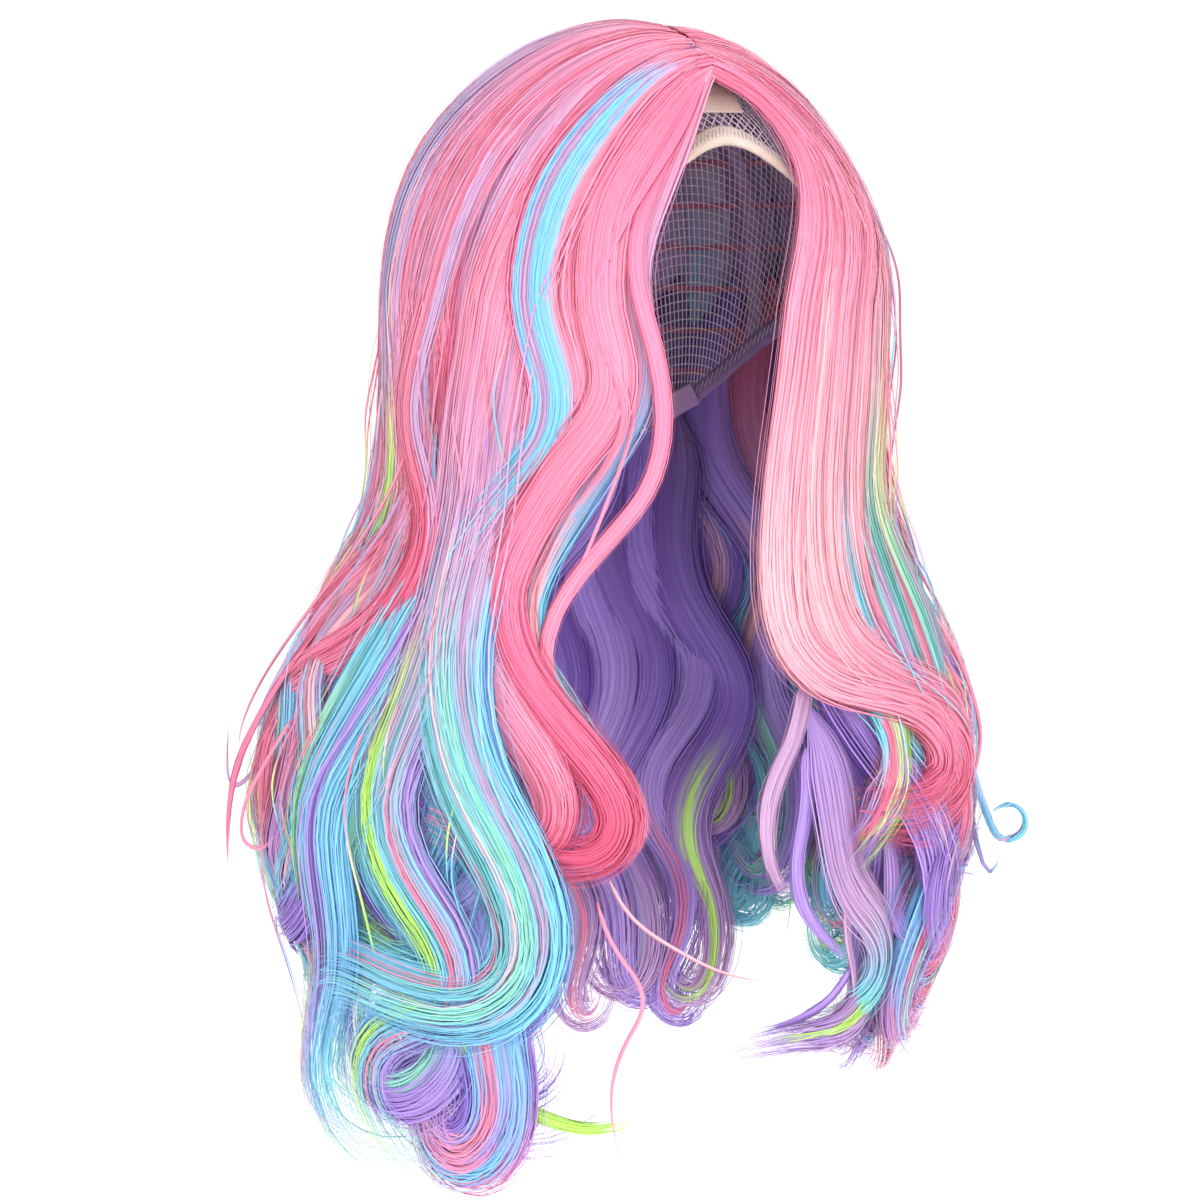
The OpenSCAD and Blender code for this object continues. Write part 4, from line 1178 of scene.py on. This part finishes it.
def flyaways(side, rng):
    """Single hairs that stand a little off the surface, all round."""
    made = []
    for _ in range(90):
        away, start_z = rng.uniform(45 if side == LEFT else 40, 178), rng.uniform(-330, -60)
        stand = rng.uniform(2, 9)
        length = rng.uniform(70, 180)
        made.append(hair_lock(
            side=side, azimuth=side * away, start_z=start_z, length=length, width=1.6,
            inset=((0, 2.0), (length * 0.5, -stand), (length, rng.uniform(-stand, 3))),
            strands=2, depth_sway=0, flatness=0.6, fine=True,
            heading=waves(side * rng.uniform(15, 45), rng.uniform(90, 160),
                          rng.uniform(0, 160), side * rng.uniform(-90, 90), length * 0.7, 60),
            dyes=OUTER_DYES[rng.integers(4)]))
    return made


# How far the ends may hang below the foot of the locks
END_DROP = 36


def middle_azimuth(lock):
    """Where a lock hangs, once it is cut so that it doesn't hang below the end curls."""
    if lock.line is not None:
        return lock.azimuth
    while fall_line(lock)[2].min() < -FALL_LEN - END_DROP:
        lock.length -= STEP * 2
    return float(np.mean(fall_line(lock)[1][8:]))


# Pieces that don't ride on the section that they hang in
FIXED_BODY = {"crown": "cap", "nape": "cap", "spiral_tendril_left": "side_lock_left",
              "stray_lock_right": "side_lock_right"}


def build_hair():
    """Makes every lock, one piece for each layer and section of the wig."""
    rng = np.random.default_rng(41)
    groups = {name: [hair_lock(side=side_of(name), **settings) for settings in locks]
              for name, locks in FRONT_LOCKS.items()}
    groups.update({name: [wisp(side_of(name), *stray) for stray in strays]
                   for name, strays in WISPS.items()})
    groups["spiral_tendril_left"] = tendril()
    groups.update(layers(rng))
    batches = {}
    for group, locks in groups.items():
        for lock in locks:
            body = body_at(middle_azimuth(lock))
            for start, fixed in FIXED_BODY.items():
                if group.startswith(start):
                    body = fixed
            ring = lock_frame(lock)
            batch = batches.setdefault((group, body), Batch())
            if not lock.fine:
                add_core(batch, lock, ring, rng)
            add_strands(batch, lock, ring, int(lock.strands * DENSITY), rng)
    pieces = {}
    for (group, body), batch in batches.items():
        short = body.replace("_lock", "")
        piece = batch.make(f"{group}_on_{short}", HAIR)
        pieces.setdefault(body, []).append(piece)
    return pieces


def join_hair(pieces):
    """The cap's pieces ride on the cap. Every other piece has its place baked into its points."""
    for body, made in pieces.items():
        for piece in made:
            if body == "cap":
                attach(piece, "cap")
                continue
            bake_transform(piece)


def replace_hair(pieces):
    """Hides the CAD's solids of hair that the pieces stand for."""
    for name in SIDES:
        for part in ("front", "side", "back"):
            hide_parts(f"{part}_hair_{name}", f"{part}_lock_{name}",
                        f"{part}_underlock_{name}", f"{part}_curls_{name}")
        for piece in pieces["cap"]:
            if piece.name.startswith(f"crown_{name}"):
                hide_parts(f"crown_hair_{name}")
            if piece.name.startswith(f"nape_{name}"):
                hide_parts(f"nape_hair_{name}")
        for stray in ("spiral_tendril_left", "stray_lock_right"):
            for piece in pieces[f"side_lock_{name}"]:
                if piece.name.startswith(stray):
                    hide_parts(stray)


hair = build_hair()
join_hair(hair)
replace_hair(hair)

# ---- the cap's net of crossing threads, and its hems ----

NET_PITCH = 2.4         # spacing of the net's threads, in degrees of the head's curve
NET_HEM = 0.4           # how far the threads reach into the hem
NET_REACH = 125         # the furthest that a thread goes from the crown, in the same degrees
NET_THREAD = 0.32       # half width of a thread
HEM_COLUMNS = 140
HEM_DROP = 4.6          # how far the hems hang below the net's edge, in degrees from the crown
# A hem's folded outline: degrees down from that line, and millimetres off the head
HEM_OUTLINE = [(0.5, -0.5), (0.5, 1.5), (-1.2, 2.0), (-4.0, 1.8), (-5.2, 1.3), (-5.2, 0.0),
               (-4.0, -0.9), (-1.2, -1.0)]
# The middle of the stitches, in degrees below the net's edge, and their swing to either side
STITCH_LINE = HEM_DROP - 2.6
STITCH_SWING = 1.3


def head_point(azimuth, down, lift):
    """A point on the head at an azimuth and an angle down from the crown."""
    a, t = np.radians(azimuth), np.radians(down)
    point = np.stack([np.sin(t) * np.sin(a), -np.sin(t) * np.cos(a), np.cos(t)], axis=-1) * HEAD
    normal = unit(point / HEAD ** 2)
    return point + normal * lift - np.array([0, 0, HEAD[2]]), normal


def edge_down(azimuth):
    """How far down from the crown the net's edge is, in degrees, with its corners rounded."""
    near = np.asarray(azimuth, float)[..., None] + np.linspace(-15, 15, 31)
    away = np.abs((near + 180) % 360 - 180)
    height = np.interp(away, NET_EDGE[:, 0], NET_EDGE[:, 1]).mean(axis=-1)
    return np.degrees(np.arccos((height + HEAD[2]) / HEAD[2]))


def net_thread(slope, offset):
    """One thread: a straight line over the head's flat pattern, as far as the hem."""
    t = np.linspace(-NET_REACH, NET_REACH, 180)
    across, along = np.cos(math.radians(slope)), np.sin(math.radians(slope))
    p, q = across * t - along * offset, along * t + across * offset
    azimuth, down = np.degrees(np.arctan2(p, -q)), np.hypot(p, q)
    inside = down < edge_down(azimuth) + NET_HEM
    return azimuth[inside], down[inside], np.flatnonzero(inside)


def add_thread(batch, line, normal, half_width, rise, colour, travel):
    """Adds a flat thread along a line on the head, with its place along it for the strand UVs."""
    side = unit(np.cross(np.gradient(line, axis=0), normal)) * half_width
    lift = normal * rise
    tube = np.stack([line - side, line + lift, line + side, line - lift], axis=1)
    uv = np.stack(np.broadcast_arrays(np.arange(4)[None], travel[:, None] * 1.0), -1)
    batch.add(tube, grid_faces(len(line), 4, True), colour, uv)


def on_cap(piece):
    """A new piece that moves with the cap."""
    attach(piece, "cap")


def build_net(material):
    """The stretch net: two sets of threads that cross, one over the other."""
    batch = Batch()
    colour = linear(226, 208, 220)
    for slope, lift in ((45, 0.25), (-45, 0.75)):
        for offset in np.arange(1 - NET_REACH, NET_REACH - 0.9, NET_PITCH):
            azimuth, down, kept = net_thread(slope, offset)
            for run in np.split(np.arange(len(kept)), np.flatnonzero(np.diff(kept) > 1) + 1):
                if len(run) < 3:
                    continue
                line, normal = head_point(azimuth[run], down[run], lift)
                add_thread(batch, line, normal, NET_THREAD, 0.22, colour, run)
    net = batch.make("cap_net_threads", material)
    on_cap(net)
    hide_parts("crown_net")


def build_hem(name, node, first, last, cloth, thread):
    """A folded band just below the net's edge, with a zigzag of stitches through it."""
    columns, corners = np.arange(HEM_COLUMNS), np.arange(len(HEM_OUTLINE))
    azimuth = np.linspace(first, last, HEM_COLUMNS)
    edge = edge_down(azimuth) + HEM_DROP
    rings = np.stack([head_point(azimuth, edge + down, lift)[0] for down, lift in HEM_OUTLINE], 1)
    uv = np.stack(np.broadcast_arrays(corners[None] * 2.0, columns[:, None] * 2.0), -1)
    faces = grid_faces(HEM_COLUMNS, len(corners), True)
    ends = np.array([[7, 6, 5, 4], [7, 4, 3, 0], [0, 3, 2, 1]])
    far_ends = (ends + columns[-1] * len(corners))[:, ::-1]
    band = Batch()
    band.add(rings, np.concatenate([faces, ends, far_ends]), 1.0, uv)
    hem = band.make(name, cloth)
    on_cap(hem)
    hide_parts(node)
    stitches = Batch()
    count = int((last - first) * 1.1)
    for row_lift in (2.15, -1.15):
        turn = np.linspace(first + 1, last - 1, count)
        down = edge_down(turn) + STITCH_LINE + STITCH_SWING * (-1.0) ** np.arange(count)
        line, normal = head_point(turn, down, row_lift)
        add_thread(stitches, line, normal, 0.2, 0.25, linear(246, 232, 238), np.arange(count))
    on_cap(stitches.make(f"{name}_stitches", thread))


# ---- the cap's materials, and the parts that keep their CAD shape ----

THREAD = thread_material()
CAP_CLOTH = {
    "skin_lace": woven_material("skin_lace", (238, 214, 200), 320.0),
    "elastic_band": woven_material("elastic_band", (164, 128, 178), 420.0),
    "satin_ribbon": woven_material("satin_ribbon", (190, 150, 196), 520.0, 0.45, 0.1),
    "weft_thread": woven_material("weft_thread", (205, 108, 146), 700.0, 0.6),
}
STEEL = hard_material("spring_steel", (182, 184, 188), 0.35, 1.0, (1, 12, 1))
PLASTIC = hard_material("moulded_plastic", (240, 238, 240), 0.42)
# Which material each CAD part takes, by how its name starts
PART_MATERIALS = {
    "parting_strip": CAP_CLOTH["skin_lace"],
    "ear_tab": CAP_CLOTH["skin_lace"],
    "ear_tab_stay": STEEL,
    "centre_ribbon": CAP_CLOTH["satin_ribbon"],
    "side_ribbon": CAP_CLOTH["satin_ribbon"],
    "loop_tape": CAP_CLOTH["satin_ribbon"],
    "weft_row": CAP_CLOTH["weft_thread"],
    "strap": CAP_CLOTH["elastic_band"],
    "strap_casing": CAP_CLOTH["satin_ribbon"],
    "strap_hook": PLASTIC,
}

build_net(THREAD)
build_hem("front_hem_band", "front_hem", -95, 95, CAP_CLOTH["skin_lace"], THREAD)
build_hem("nape_hem_band", "nape_hem", 96, 264, CAP_CLOTH["elastic_band"], THREAD)


def dress(node, material):
    """Gives a CAD node its material."""
    shown = frame["nodes"][node]
    meshes = [shown] if shown.type == "MESH" else [o for o in shown.children if o.type == "MESH"]
    for piece in meshes:
        if not piece.material_slots:
            piece.data.materials.append(material)
        for place in piece.material_slots:
            place.material = material


for node in frame["nodes"]:
    starts = [start for start in PART_MATERIALS if node.startswith(start)]
    if starts:
        dress(node, PART_MATERIALS[max(starts, key=len)])
